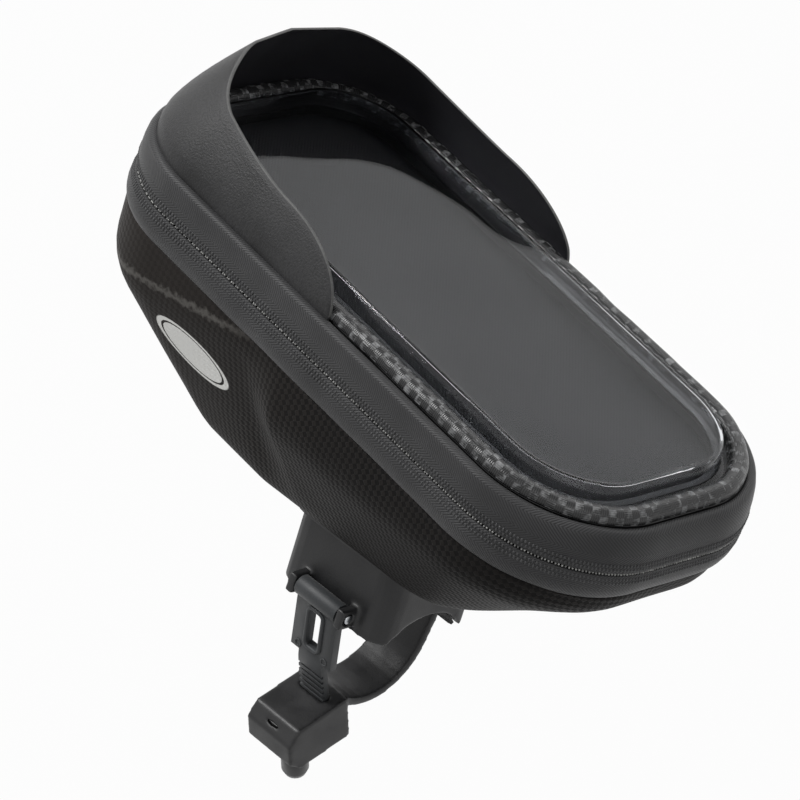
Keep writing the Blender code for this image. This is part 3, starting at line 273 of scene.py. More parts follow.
def embossedSkin(settings):
    # PVC-coated skin pressed over the foam: a soft checker of small lozenges, two heights of black
    material, tree, shader = newMaterial("embossedSkin", settings)
    uv = addNode(tree, "ShaderNodeUVMap", uv_map="skin")[0]
    turned = addNode(tree, "ShaderNodeMapping", {
        "Vector": uv, "Rotation": (0, 0, settings["turn"]),
        "Scale": (math.pi / settings["cell"], math.pi / settings["cell"], 1)}, vector_type="POINT")
    cells = addNode(tree, "ShaderNodeSeparateXYZ", {0: turned[0]})
    waves = [addNode(tree, "ShaderNodeMath", {0: cells[axis]}, operation="SINE")[0]
             for axis in (0, 1)]
    product = addNode(tree, "ShaderNodeMath", {0: waves[0], 1: waves[1]}, operation="MULTIPLY")[0]
    checker = addNode(tree, "ShaderNodeMapRange", {
        "Value": product, "From Min": -settings["soft"], "From Max": settings["soft"]},
        interpolation_type="SMOOTHSTEP")[0]
    grain = objectNoise(tree, settings["grain"], 3.0, 0.65)
    fade = addNode(tree, "ShaderNodeMapRange", {
        "Value": objectNoise(tree, settings["patch"]), "From Min": 0.35, "From Max": 0.65,
        "To Min": 0.6, "To Max": 1.0})[0]
    where = addNode(tree, "ShaderNodeTexCoord")["Object"]
    lengthwise = addNode(tree, "ShaderNodeSeparateXYZ", {0: where})[1]
    rearwards = addNode(tree, "ShaderNodeMapRange", {
        "Value": lengthwise, "From Min": ringCentre.y + settings["plainFront"],
        "From Max": ringCentre.y + settings["fullRear"], "To Min": settings["plainShare"],
        "To Max": 1.0})[0]
    fade = addNode(tree, "ShaderNodeMath", {0: fade, 1: rearwards}, operation="MULTIPLY")[0]
    # the squares fade towards their own middle tone, so that the front keeps the same black
    centred = addNode(tree, "ShaderNodeMath", {0: checker, 1: 0.5}, operation="SUBTRACT")[0]
    tone = addNode(tree, "ShaderNodeMath", {0: centred, 1: fade, 2: 0.5},
                   operation="MULTIPLY_ADD")[0]
    height, speckle = [addNode(tree, "ShaderNodeMath", {0: grain, 1: share, 2: tone},
                               operation="MULTIPLY_ADD")[0]
                       for share in (settings["grainShare"], 0.5)]
    spread = addNode(tree, "ShaderNodeMapRange", {"Value": speckle, "From Min": 0.15,
                                                  "From Max": 1.3})[0]
    # painted light: the skin's colour is paler towards the front and darker towards the rear, as painted
    # shade
    paler = addNode(tree, "ShaderNodeMapRange", {
        "Value": lengthwise, "From Min": ringCentre.y + settings["darkRear"],
        "From Max": ringCentre.y + settings["paleFront"], "To Min": settings["rearTone"],
        "To Max": settings["frontTone"]})[0]
    spread = addNode(tree, "ShaderNodeMath", {0: spread, 1: paler}, operation="MULTIPLY")[0]
    finishSurface(tree, shader, settings, height, spread)
    rough = addNode(tree, "ShaderNodeMapRange", {
        "Value": checker, "To Min": settings["Roughness"] + 0.09,
        "To Max": settings["Roughness"] - 0.05})[0]
    tree.links.new(rough, shader.inputs["Roughness"])
    return material, tree, shader


skinSettings = {
    "dark": "#0c0b0b", "light": "#282523", "Roughness": 0.52, "IOR": 1.36, "Specular IOR Level": 0.12,
    "cell": 1.55 * mm, "turn": math.radians(40), "soft": 0.22, "depth": 0.16 * mm,
    "grain": 0.5 * mm, "grainShare": 0.35, "patch": 30 * mm,
    "plainFront": 45 * mm, "fullRear": 5 * mm, "plainShare": 0.12,   # the emboss is flatter in front
    # painted light along the skin: painted shade towards the rear, paler towards the front
    "darkRear": -20 * mm, "paleFront": 60 * mm, "rearTone": 0.45, "frontTone": 1.6,
}
shellSkin, skinTree, skinShader = embossedSkin(skinSettings)


def paintOver(share, tone):
    # a tone laid over the colour that the skin has so far
    base = skinShader.inputs["Base Color"].links[0].from_socket
    painted = addNode(skinTree, "ShaderNodeMix", {0: share, 6: base, 7: linear(tone)}, data_type="RGBA")
    skinTree.links.new(painted[2], skinShader.inputs["Base Color"])


# the plain pale mark printed on the left side: an oval with a darker band, places in ring Y and Z
printMark = {
    "y": 44 * mm, "z": -46 * mm, "halfLength": 15.5 * mm, "halfHeight": 6.2 * mm,
    "turn": math.radians(5), "ink": "#f4f4f1", "line": (0.80, 0.86), "edge": 0.97,
}


def addPrint():
    tree = skinTree
    where = addNode(tree, "ShaderNodeTexCoord")["Object"]
    centre = Vector((0, ringCentre.y + printMark["y"], ringCentre.z + printMark["z"]))
    local = addNode(tree, "ShaderNodeMapping", {
        "Vector": where, "Location": centre, "Rotation": (printMark["turn"], 0, 0),
        "Scale": (mm, printMark["halfLength"], printMark["halfHeight"])}, vector_type="TEXTURE")
    parts = addNode(tree, "ShaderNodeSeparateXYZ", {0: local[0]})
    flat = addNode(tree, "ShaderNodeCombineXYZ", {1: parts[1], 2: parts[2]})[0]
    reach = addNode(tree, "ShaderNodeVectorMath", {0: flat}, operation="LENGTH")["Value"]
    inside = addNode(tree, "ShaderNodeMapRange", {"Value": reach, "From Min": 1.0,
                                                  "From Max": printMark["edge"]})[0]
    left = addNode(tree, "ShaderNodeMath", {0: parts[0], 1: 0.0}, operation="LESS_THAN")[0]
    lineMiddle = sum(printMark["line"]) / 2
    gap = addNode(tree, "ShaderNodeMath", {0: reach, 1: lineMiddle, 2: printMark["line"][1] - lineMiddle},
                  operation="COMPARE")[0]
    solid = addNode(tree, "ShaderNodeMath", {0: 1.0, 1: gap}, operation="SUBTRACT")[0]
    for part in (solid, left):
        inside = addNode(tree, "ShaderNodeMath", {0: inside, 1: part}, operation="MULTIPLY")[0]
    paintOver(inside, printMark["ink"])


def herringboneTape(settings):
    # polyester tape under a matte film: zigzag ribs show through it and catch the light in turn
    material, tree, shader = newMaterial("laminatedTape", settings)
    along, across = uvParts(tree)[1:]
    fold = addNode(tree, "ShaderNodeMath", {0: across, 1: settings["band"]},
                   operation="PINGPONG")[0]
    slanted = addNode(tree, "ShaderNodeMath", {0: fold, 1: settings["slope"], 2: along},
                      operation="MULTIPLY_ADD")[0]
    wave = sineWave(tree, slanted, settings["pitch"])
    rib = addNode(tree, "ShaderNodeMapRange", {"Value": wave, "From Min": -1.0, "From Max": 0.6},
                  interpolation_type="SMOOTHSTEP")[0]
    fade = addNode(tree, "ShaderNodeMapRange", {
        "Value": objectNoise(tree, settings["patch"]), "From Min": 0.3, "From Max": 0.7,
        "To Min": 0.4, "To Max": 1.0})[0]
    shown = addNode(tree, "ShaderNodeMath", {0: rib, 1: fade}, operation="MULTIPLY")[0]
    height = addNode(tree, "ShaderNodeMath", {0: objectNoise(tree, settings["grain"]), 1: 0.25, 2: shown},
                     operation="MULTIPLY_ADD")[0]
    spread = addNode(tree, "ShaderNodeMapRange", {"Value": height, "From Min": 0.1, "From Max": 1.1})
    finishSurface(tree, shader, settings, height, spread[0])
    return material


laminatedTape = herringboneTape({
    "dark": "#1e1e1f", "light": "#3e3e3f", "Roughness": 0.48, "IOR": 1.5, "Specular IOR Level": 0.25,
    "Sheen Weight": 0.08, "Sheen Roughness": 0.4, "band": 5.4 * mm, "slope": -1.3, "pitch": 1.15 * mm,
    "depth": 0.1 * mm, "grain": 0.4 * mm, "patch": 22 * mm})


def carbonWeave(settings):
    # printed carbon-look film over the piping cord: squares of bright and dark strands under gloss
    material, tree, shader = newMaterial("carbonPiping", settings)
    uv, along, across = uvParts(tree)
    squares = addNode(tree, "ShaderNodeTexChecker", {"Vector": uv,
                                                     "Scale": 1 / settings["cell"]})[1]
    strands = [sineWave(tree, axis, settings["strand"]) for axis in (along, across)]
    chosen = addNode(tree, "ShaderNodeMix", {0: squares, 2: strands[0], 3: strands[1]},
                     data_type="FLOAT")[0]
    mottle = objectNoise(tree, settings["patch"], 3.0, 0.7)
    bright = addNode(tree, "ShaderNodeMath", {0: squares, 1: mottle}, operation="MULTIPLY")[0]
    sharp = addNode(tree, "ShaderNodeMapRange", {"Value": bright, "From Min": 0.45,
                                                 "From Max": 0.72})[0]
    lit, height = [addNode(tree, "ShaderNodeMath", {0: chosen, 1: share, 2: under},
                           operation="MULTIPLY_ADD")[0]
                   for share, under in ((0.12, sharp), (0.4, squares))]
    finishSurface(tree, shader, settings, height, lit)
    return material


carbonPiping = carbonWeave({
    "dark": "#101011", "light": "#7b7c7d", "Roughness": 0.26, "IOR": 1.52, "Specular IOR Level": 0.35,
    "cell": 2.4 * mm, "strand": 0.6 * mm, "patch": 3.4 * mm, "depth": 0.05 * mm})


def knitLining(name, settings):
    # knitted polyester over thin foam: rows of small loops, dull, with a little fuzz
    material, tree, shader = newMaterial(name, settings)
    along, across = uvParts(tree)[1:]
    waves = [sineWave(tree, along, settings["wale"]), sineWave(tree, across, settings["course"])]
    loops = addNode(tree, "ShaderNodeMath", {0: waves[0], 1: waves[1]}, operation="MULTIPLY")[0]
    fuzz = objectNoise(tree, settings["grain"], 3.0, 0.7)
    height = addNode(tree, "ShaderNodeMath", {0: loops, 1: 0.5, 2: fuzz},
                     operation="MULTIPLY_ADD")[0]
    spread = addNode(tree, "ShaderNodeMapRange", {"Value": height, "From Min": -0.1, "From Max": 1.1})
    finishSurface(tree, shader, settings, height, spread[0])
    return material


liningKnit = knitLining("liningKnit", {
    "dark": "#0c0c0d", "light": "#1f1f21", "Roughness": 0.85, "IOR": 1.5, "Specular IOR Level": 0.2,
    "Sheen Weight": 0.06, "Sheen Roughness": 0.5,
    "wale": 1.3 * mm, "course": 1.3 * mm, "grain": 0.7 * mm, "depth": 0.07 * mm})
# touch tape: a dense black pile, coarser on the hook side
touchPile = knitLining("touchPile", {
    "dark": "#101010", "light": "#2c2c2c", "Roughness": 0.95, "IOR": 1.5, "Sheen Weight": 0.3,
    "Sheen Roughness": 0.6, "wale": 1.3 * mm, "course": 1.3 * mm, "grain": 0.35 * mm, "depth": 0.3 * mm})


def clearFilm(settings):
    # heat-formed clear TPU: sees through, mirrors the sky, and ripples a little where it was formed
    material, tree, shader = newMaterial("clearFilm", settings)
    ripple = objectNoise(tree, settings["ripple"], 1.0)
    fine = objectNoise(tree, settings["grain"], 2.0)
    height = addNode(tree, "ShaderNodeMath", {0: fine, 1: 0.06, 2: ripple},
                     operation="MULTIPLY_ADD")[0]
    bump = addNode(tree, "ShaderNodeBump", {"Height": height, "Distance": settings["depth"]})
    tree.links.new(bump[0], shader.inputs["Normal"])
    return material


windowFilm = clearFilm({
    "dark": "#e9ebee", "Roughness": 0.03, "IOR": 1.25, "Transmission Weight": 1.0,
    "ripple": 18 * mm, "grain": 7 * mm, "depth": 0.04 * mm})
print("materials made:", len(bpy.data.materials))


def newObject(name, data):
    piece = bpy.data.objects.new(name, data)
    bpy.context.collection.objects.link(piece)
    return piece


def meshFrom(bm, name, sharp=38):
    # a plain mesh, smooth but for the edges sharper than this angle
    bmesh.ops.recalc_face_normals(bm, faces=bm.faces)
    mesh = bpy.data.meshes.new(name)
    bm.to_mesh(mesh)
    bm.free()
    mesh.shade_smooth()
    mesh.set_sharp_from_angle(angle=math.radians(sharp))
    return mesh


def settle(piece, body, replaced=()):
    # no body is given where the piece bends between two
    if body:
        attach(piece, body)
    if replaced:
        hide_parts(*replaced)
    return piece


def addPiece(name, body, materials, bm, replaced=()):
    mesh = meshFrom(bm, name)
    for material in materials:
        mesh.materials.append(material)
    return settle(newObject(name, mesh), body, replaced)


def runLengths(points):
    # the distance of each point from the first one, along the line
    lengths = [0.0]
    for before, after in zip(points, points[1:]):
        lengths.append(lengths[-1] + (after - before).length)
    return lengths


def flatUv(faces, layer, first, second):
    # UV straight from two of each point's coordinates
    for face in faces:
        for loop in face.loops:
            loop[layer].uv = (loop.vert.co[first], loop.vert.co[second])


def joinRows(bm, rows):
    # quads between closed rows of equal length
    faces = []
    for a, b in zip(rows, rows[1:]):
        for i in range(len(a)):
            j = (i + 1) % len(a)
            faces.append(bm.faces.new((a[i], a[j], b[j], b[i])))
    return faces


def gridMesh(rings, closed, slots=None):
    # a skin over rings of points, capped unless it is closed: UV "skin" counts metres along and across
    bm = bmesh.new()
    uvLayer = bm.loops.layers.uv.new("skin")
    loops = [[bm.verts.new(point) for point in points] for points in rings]
    count, width = len(rings), len(rings[0])
    middles = [sum(points, Vector()) / width for points in rings]
    along, across = runLengths(middles + middles[:1]), runLengths(rings[0] + rings[0][:1])
    for i in range(count if closed else count - 1):
        for j in range(width):
            corners = [(i, j), (i, j + 1), (i + 1, j + 1), (i + 1, j)]
            face = bm.faces.new([loops[a % count][b % width] for a, b in corners])
            if slots:
                face.material_index = slots[j]
            for loop, (a, b) in zip(face.loops, corners):
                loop[uvLayer].uv = (along[a], across[b])
    if not closed:
        flatUv([bm.faces.new(loops[0]), bm.faces.new(loops[-1])], uvLayer, 1, 2)
    return bm


def sectionRings(section, start=0.0):
    # a section of (offset, drop) pairs in millimetres, taken round the ring, or round all but its hinge
    return [[place(station, offset * mm, drop * mm) for offset, drop in section]
            for station in ringStations(start)]


def fillRows(bm, rim, interior):
    # rows from the right side to the left one, welded to the rim's straight ends
    count, ends = len(rim), ring["endSteps"]
    half = count // 2
    rows = []
    for k in range(ends, half - ends + 1):
        if k == ends:
            rows.append([rim[ends - m] for m in range(2 * ends + 1)])
        elif k == half - ends:
            rows.append([rim[k + m] for m in range(2 * ends + 1)])
        else:
            inner = [bm.verts.new(interior(rim[k].co, rim[count - k].co, m / (2 * ends)))
                     for m in range(1, 2 * ends)]
            rows.append([rim[k], *inner, rim[count - k]])
    faces = []
    for a, b in zip(rows, rows[1:]):
        for m in range(2 * ends):
            faces.append(bm.faces.new((a[m], a[m + 1], b[m + 1], b[m])))
    return faces


def fillet(points, radii, steps=4):
    # a line of points with its corners rounded, always to the same number of points
    out = [points[0]]
    for before, here, after, radius in zip(points, points[1:-1], points[2:], radii):
        first, last = before - here, after - here
        start = here + first * min(0.5, radius / max(first.length, 1e-6))
        end = here + last * min(0.5, radius / max(last.length, 1e-6))
        for step in range(steps + 1):
            t = step / steps
            out.append(start * (1 - t) ** 2 + here * 2 * t * (1 - t) + end * t * t)
    return out + [points[-1]]


shell = {
    "baseHalfWidth": 31 * mm, "baseFront": 54 * mm, "baseNear": -80 * mm,
    "baseFrontRadius": 17 * mm, "baseNearRadius": 25 * mm,
    "floorDrop": 75 * mm, "landStart": 14 * mm, "landEnd": -40 * mm, "nearRise": 7.5,
    "wall": 3 * mm, "edgeRise": 2.75 * mm, "floorInset": 5 * mm,
    "rimOffset": 0.7 * mm, "rimDrop": 14.65 * mm, "rimFoot": 22.3 * mm,      # the part behind the tape
    "skinOffset": 1.6 * mm, "skinDrop": 22.6 * mm, "frontInset": 2.5 * mm,
    "ridgeStartY": 18 * mm, "ridgeRunY": 59 * mm, "ridgeTop": 23.4 * mm, "ridgeFoot": 40 * mm,
    "waistOffset": 0.8 * mm, "waistTop": 30 * mm, "waistFall": 10 * mm,
    "waistStartY": -100 * mm, "waistRunY": 108 * mm,
    "facetShare": 0.42, "facetStartY": 8 * mm, "facetRunY": 18 * mm,
    "rimRound": 0.3 * mm, "seamRound": 1.2 * mm, "ridgeRound": 6 * mm, "waistRound": 7 * mm,
    "middleRound": 4 * mm, "edgeRound": 9 * mm,
    "ripple": 0.25 * mm, "rippleScale": 55, "floorRippleScale": 60,   # how far the covered foam wavers
    "firstRippled": 12,                               # the points before it lie straight under the tape
}


def floorDropAt(y):
    slope = math.tan(stemTilt)
    if y > shell["landStart"]:
        return shell["floorDrop"]
    if y > shell["landEnd"]:
        return shell["floorDrop"] - (shell["landStart"] - y) * slope
    run = shell["landEnd"] - y
    landFoot = shell["floorDrop"] - (shell["landStart"] - shell["landEnd"]) * slope
    return landFoot - run * slope - shell["nearRise"] * run ** 2


def shellColumn(station, base, depth):
    # points of the skin from its rim down to the floor, this deep in the wall
    y, nx, ny = station[1:]
    bx, by, bnx, bny = base
    inward, baseInward, up = Vector((-nx, -ny, 0)), Vector((-bnx, -bny, 0)), Vector((0, 0, 1))

    def along(part):
        # how far the side has come along a part, from 0 at its start to 1
        return min(1.0, max(0.0, (y - shell[part + "StartY"]) / shell[part + "RunY"]))

    ridgeDrop = shell["ridgeTop"] + (shell["ridgeFoot"] - shell["ridgeTop"]) * along("ridge")
    waistDrop = shell["waistTop"] + shell["waistFall"] * along("waist")
    rim = place(station, shell["rimOffset"] - depth, shell["rimDrop"])
    foot = place(station, shell["rimOffset"] - depth, shell["rimFoot"])
    seam = place(station, shell["skinOffset"] - depth, shell["skinDrop"])
    upper = place(station, shell["skinOffset"] - shell["frontInset"] * max(0.0, ny), ridgeDrop)
    outer = ringCentre + Vector((bx, by, -floorDropAt(by) + shell["edgeRise"]))
    facet = upper.lerp(outer, shell["facetShare"])
    waist = place(station, shell["waistOffset"], waistDrop).lerp(facet, along("facet"))
    floor = ringCentre + Vector((bx - bnx * shell["floorInset"], by - bny * shell["floorInset"],
                                 -floorDropAt(by)))
    ridge = upper + inward * depth
    waist = waist + (inward + up * 0.3) * depth
    edge = outer + (baseInward * 0.8 + up * 0.6) * depth
    floor = floor + up * depth
    line = [rim, foot, seam, ridge, waist, waist.lerp(edge, 0.5), edge, floor]
    points = fillet(line, [shell[part + "Round"]
                           for part in ("rim", "seam", "ridge", "waist", "middle", "edge")])
    if not depth:
        for index, point in enumerate(points[shell["firstRippled"]:], shell["firstRippled"]):
            points[index] = point - inward * (noise.noise(point * shell["rippleScale"]) * shell["ripple"])
    return points


def makeShell():
    stations = ringStations()
    bases = outline(shell["baseHalfWidth"], shell["baseFront"], shell["baseNear"],
                    shell["baseFrontRadius"], shell["baseNearRadius"])
    count = len(stations)
    half = count // 2
    sideMiddle = min(range(half), key=lambda i: abs(stations[i][1]))
    bm = bmesh.new()
    uvLayer = bm.loops.layers.uv.new("skin")
    skins = []
    for slotIndex, depth in enumerate((0.0, shell["wall"])):
        columns = [shellColumn(station, base, depth) for station, base in zip(stations, bases)]
        rows = len(columns[0])
        verts = [[bm.verts.new(point) for point in column] for column in columns]
        skins.append(verts)
        drops = [runLengths(column) for column in columns]
        # lengths along a row count from the middle of the side, the same on both sides
        lengths = [runLengths([column[j] for column in columns[:half + 1]]) for j in range(rows)]
        for i in range(count):
            for j in range(rows - 1):
                corners = [(i, j), (i, j + 1), (i + 1, j + 1), (i + 1, j)]
                face = bm.faces.new([verts[a % count][b] for a, b in corners])
                face.material_index = slotIndex
                for loop, (a, b) in zip(face.loops, corners):
                    side = a if i < half else count - a
                    loop[uvLayer].uv = (lengths[b][side] - lengths[b][sideMiddle], drops[a % count][b])
    rim = joinRows(bm, [[column[0] for column in verts] for verts in skins])
    for face in rim:
        face.material_index = 1
    flatUv(rim, uvLayer, 1, 2)

    def across(a, b, share):
        point = a.lerp(b, share)
        point.z += noise.noise(point * shell["floorRippleScale"]) * shell["ripple"] * 0.5
        return point

    for slotIndex, verts in enumerate(skins):
        faces = fillRows(bm, [column[-1] for column in verts], across)
        for face in faces:
            face.material_index = slotIndex
        flatUv(faces, uvLayer, 1, 0)
    piece = addPiece("shell_skin", "bag", [shellSkin, liningKnit], bm, ["shell"])
    return piece


# the painted highlight along the upper ridge: its tone, width and jagged dashes, and where it starts and is
# full
ridgeHighlight = {"tone": "#666461", "width": 1.9 * mm, "jag": 4.2 * mm, "jagSize": 1.7 * mm,
        "start": 20 * mm, "full": 36 * mm, "share": 0.58}


def addRidgeHighlight():
    # along the upper ridge a painted highlight: pale, in short dashes
    tree = skinTree
    where = addNode(tree, "ShaderNodeTexCoord")["Object"]
    parts = addNode(tree, "ShaderNodeSeparateXYZ", {0: where})
    first = ringCentre.y + shell["ridgeStartY"]
    line = addNode(tree, "ShaderNodeMapRange", {
        "Value": parts[1], "From Min": first, "From Max": first + shell["ridgeRunY"],
        "To Min": ringCentre.z - shell["ridgeTop"],
        "To Max": ringCentre.z - shell["ridgeFoot"]})[0]
    jagged = addNode(tree, "ShaderNodeMath", {
        0: objectNoise(tree, ridgeHighlight["jagSize"]), 1: ridgeHighlight["jag"], 2: line},
        operation="MULTIPLY_ADD")[0]
    away = addNode(tree, "ShaderNodeMath", {0: parts[2], 1: jagged}, operation="SUBTRACT")[0]
    distance = addNode(tree, "ShaderNodeMath", {0: away}, operation="ABSOLUTE")[0]
    band = addNode(tree, "ShaderNodeMapRange", {
        "Value": distance, "From Min": 0.0, "From Max": ridgeHighlight["width"], "To Min": ridgeHighlight["share"],
        "To Max": 0.0}, interpolation_type="SMOOTHSTEP")[0]
    front = addNode(tree, "ShaderNodeMapRange", {
        "Value": parts[1], "From Min": ringCentre.y + ridgeHighlight["start"],
        "From Max": ringCentre.y + ridgeHighlight["full"]})[0]
    shown = addNode(tree, "ShaderNodeMath", {0: band, 1: front}, operation="MULTIPLY")[0]
    paintOver(shown, ridgeHighlight["tone"])


addRidgeHighlight()
addPrint()
makeShell()
print("shell made")

tape = {
    "hingeHalfWidth": 16.8 * mm, "unevenness": 0.12 * mm, "bumpSize": 14 * mm,
    # sections in millimetres: offset from the ring and drop below it
    "upper": [(0.78, 1.5), (0.55, 0.8), (0.05, 0.44), (-0.3, 0.4), (-0.38, 0.2), (-0.1, -0.02),
              (0.6, -0.1), (1.3, 0.0), (1.9, 0.3), (2.4, 1.0), (2.8, 2.6), (2.95, 5.2), (2.85, 8.2),
              (2.55, 10.4), (2.35, 11.5), (2.1, 12.0), (1.5, 12.1), (0.95, 11.2), (0.8, 8.0), (0.76, 3.0)],
    "lower": [(1.5, 12.9), (2.1, 13.0), (2.35, 13.5), (2.6, 14.8), (2.95, 16.8), (2.95, 18.6), (2.65, 20.4),
              (2.2, 21.6), (1.75, 22.2), (1.1, 22.1), (0.78, 20.5), (0.76, 16), (0.9, 13.8)],
}


def waver(rings, depth, size, seed):
    # small unevenness along a sewn or glued edge
    for points in rings:
        for index, point in enumerate(points):
            points[index] = point + noise.noise_vector(point / size + Vector((seed, 0, 0))) * depth
    return rings


def makeTape(name, body, section, node, seed):
    rings = waver(sectionRings(section, tape["hingeHalfWidth"]), tape["unevenness"], tape["bumpSize"],
                  seed)
    addPiece(name, body, [laminatedTape], gridMesh(rings, False), [node])
    return runLengths([points[5] for points in rings])[-1]


upperSpan = makeTape("upper_tape", "lid", tape["upper"], "upper_zip_tape", 3.0)
makeTape("lower_tape", "bag", tape["lower"], "lower_zip_tape", 9.0)
print("zip tapes made:", round(upperSpan, 3), "m along")

for name, slotName, material, node, section in (
        ("foam_frame", "eva_foam", evaFoam, "lid_frame",
         [(0.7, 10.35), (0.7, 1.4), (0.45, 0.8), (-0.1, 0.5), (-11.2, 0.5), (-11.5, 0.8), (-11.5, 3.2),
          (-11.2, 3.5), (-3.4, 3.5), (-3.0, 3.7), (-2.9, 4.2), (-2.9, 10.1), (-2.6, 10.35)]),
        ("gloss_border", "gloss_border", glossBorder, "window_border",
         [(-0.8, 0.2), (-0.78, -0.15), (-1.1, -0.38), (-1.6, -0.4), (-11.0, -0.4), (-11.4, -0.25),
          (-11.5, 0.1), (-11.3, 0.22), (-6.0, 0.22)])):
    addPiece(name, "lid", [material], gridMesh(sectionRings(section), True), [node])

piping = {
    "centre": -3.9 * mm, "halfWidth": 3.1 * mm, "baseDrop": -0.45 * mm, "height": 3.55 * mm,
    "sides": 20, "unevenness": 0.22 * mm, "bumpSize": 9 * mm,
}


def makePiping():
    rings = []
    for station in ringStations():
        points = []
        for step in range(piping["sides"] + 1):
            angle = math.pi * step / piping["sides"]
            points.append(place(station, piping["centre"] + piping["halfWidth"] * math.cos(angle),
                                piping["baseDrop"] - piping["height"] * math.sin(angle) ** 0.85))
        rings.append(points)
    bm = gridMesh(waver(rings, piping["unevenness"], piping["bumpSize"], 21.0), True)
    piece = addPiece("carbon_piping", "lid", [carbonPiping], bm, ["piping"])
    return piece


makePiping()
print("lid frame, border and piping made")

film = {
    # offset from the ring and rise above it along the upper face, in millimetres
    "rim": [(-7.2, 0.42), (-7.9, 0.5), (-8.8, 0.62), (-9.25, 1.3), (-9.75, 4.3), (-9.95, 5.1),
            (-10.3, 5.5), (-10.5, 6.0), (-10.9, 6.35), (-11.5, 6.4), (-11.8, 6.22), (-12.5, 6.2)],
    "thickness": 0.8 * mm, "inset": 0.25 * mm, "push": 0.2 * mm, "pushSize": 22 * mm,
    "ripple": 0.22 * mm, "waveLength": 34 * mm, "sag": 0.05 * mm,
}


def makeFilm():
    stations = ringStations()
    bm = bmesh.new()
    uvLayer = bm.loops.layers.uv.new("skin")
    faces, rims = [], []
    for side, lift in ((0, 0.0), (1, -film["thickness"])):
        loops = []
        for index, (offset, rise) in enumerate(film["rim"]):
            inset = 0.0 if index < 2 else film["inset"]
            row = []
            for station in stations:
                wave = noise.noise(Vector((station[0], station[1], offset)) / film["pushSize"])
                push = wave * film["push"] * (1 if 2 < index < 8 else 0)
                row.append(bm.verts.new(place(station, offset * mm + push - inset * side,
                                              -rise * mm - lift * (1 if index > 1 else 0.6))))
            loops.append(row)
        rims.append(loops[0])
        faces += joinRows(bm, loops)

        def plateau(a, b, share):
            point = a.lerp(b, share)
            local = point - ringCentre
            rimFade = min(1.0, 8 * min(share, 1 - share))
            ripple = noise.noise(Vector((local.x, local.y, 0.0)) / film["waveLength"])
            point.z += (ripple * film["ripple"] - film["sag"]) * rimFade
            return point

        faces += fillRows(bm, loops[-1], plateau)
    faces += joinRows(bm, rims)
    flatUv(faces, uvLayer, 0, 1)
    return addPiece("film_window", "lid", [windowFilm], bm, ["window_film"])


makeFilm()
print("window film made")

hood = {
    "rootY": 1.5 * mm, "riseLength": 32 * mm, "sideHeight": 17.5 * mm, "frontHeight": 29.5 * mm,
    "rootHeight": 1.0 * mm, "stand": 3.4 * mm, "lean": 0.24, "cornerLean": 0.34, "cornerReach": 42 * mm,
    "halfThickness": 0.5 * mm, "footDrop": 0.2 * mm, "bow": 0.5 * mm,
    "rows": 10, "sideSteps": 40, "cornerSteps": 26, "frontSteps": 14,
    "flutter": 0.35 * mm, "flutterSize": 45 * mm,
}


def hoodHeight(y):
    run = min(1.0, (y - hood["rootY"]) / hood["riseLength"])
    side = hood["sideHeight"] * math.sqrt(max(0.0, 1 - (1 - run) ** 2))
    start = hood["rootY"] + hood["riseLength"]
    past = max(0.0, y - start) / (ring["halfLength"] - start)
    return side + (hood["frontHeight"] - hood["sideHeight"]) * past ** 1.5


def hoodLean(x, y):
    # the corners of the sheet lean in furthest, which rounds its upper edge
    share = ring["frontRadius"] * (1 - math.sqrt(0.5))
    away = math.hypot(abs(x) - (ring["halfWidth"] - share), y - (ring["halfLength"] - share))
    return hood["lean"] + hood["cornerLean"] * math.exp(-(away / hood["cornerReach"]) ** 2)


def hoodStations():
    radius, cornerY = ring["frontRadius"], ring["halfLength"] - ring["frontRadius"]
    flat = ring["halfWidth"] - radius
    right = []
    for step in range(hood["sideSteps"]):
        share = (step / hood["sideSteps"]) ** 1.6
        right.append((ring["halfWidth"], hood["rootY"] + (cornerY - hood["rootY"]) * share, 1.0, 0.0))
    right += arc(flat, cornerY, radius,
                 [math.pi / 2 * step / hood["cornerSteps"] for step in range(hood["cornerSteps"] + 1)])
    front = [(flat - 2 * flat * step / hood["frontSteps"], ring["halfLength"], 0.0, 1.0)
             for step in range(1, hood["frontSteps"])]
    return right + front + [(-x, y, -nx, ny) for x, y, nx, ny in reversed(right)]


def makeHood():
    # one bent sheet: outer face, cut edge, inner face and foot
    rings, rows = [], hood["rows"]
    sides = (hood["halfThickness"], -hood["halfThickness"])
    for station in hoodStations():
        height = max(hoodHeight(station[1]), hood["rootHeight"])
        knee = min(hood["stand"], height * 0.6)
        lean = hoodLean(station[0], station[1]) * (height - knee)
        lines = [(0.0, -hood["footDrop"])]
        for row in range(1, rows + 1):
            share = row / rows
            rise = height * share
            # the knee is a soft curve, and the upper part bows outwards a little
            over = max(0.0, rise - knee)
            back = lean * (over / max(height - knee, 1e-6)) ** 1.25
            bow = hood["bow"] * math.sin(math.pi * share) * min(1.0, height / hood["sideHeight"])
            wave = noise.noise(Vector((station[0], station[1], rise)) / hood["flutterSize"])
            lines.append((-back + bow + wave * hood["flutter"] * share, rise))
        outerFace, innerFace = [[place(station, offset + side, -rise) for offset, rise in lines]
                                for side in sides]
        tip, edgeRise = lines[-1], hood["halfThickness"] * 0.28
        edge = [place(station, tip[0] + side * 0.6, -tip[1] - edgeRise) for side in sides]
        rings.append(outerFace + edge + list(reversed(innerFace)))
    bm = gridMesh(rings, False, [0] * rows + [2, 2, 2] + [1] * rows + [1])
    piece = addPiece("sun_hood", "lid", [hoodOuter, hoodInner, hoodEdge], bm, ["hood"])
    length = sum((rings[i + 1][0] - rings[i][0]).length for i in range(len(rings) - 1))
    area = sum((rings[i + 1][0] - rings[i][0]).length
               * (rings[i][rows] - rings[i][0]).length for i in range(len(rings) - 1))
    return length, area


print("hood made, length and area:", makeHood())


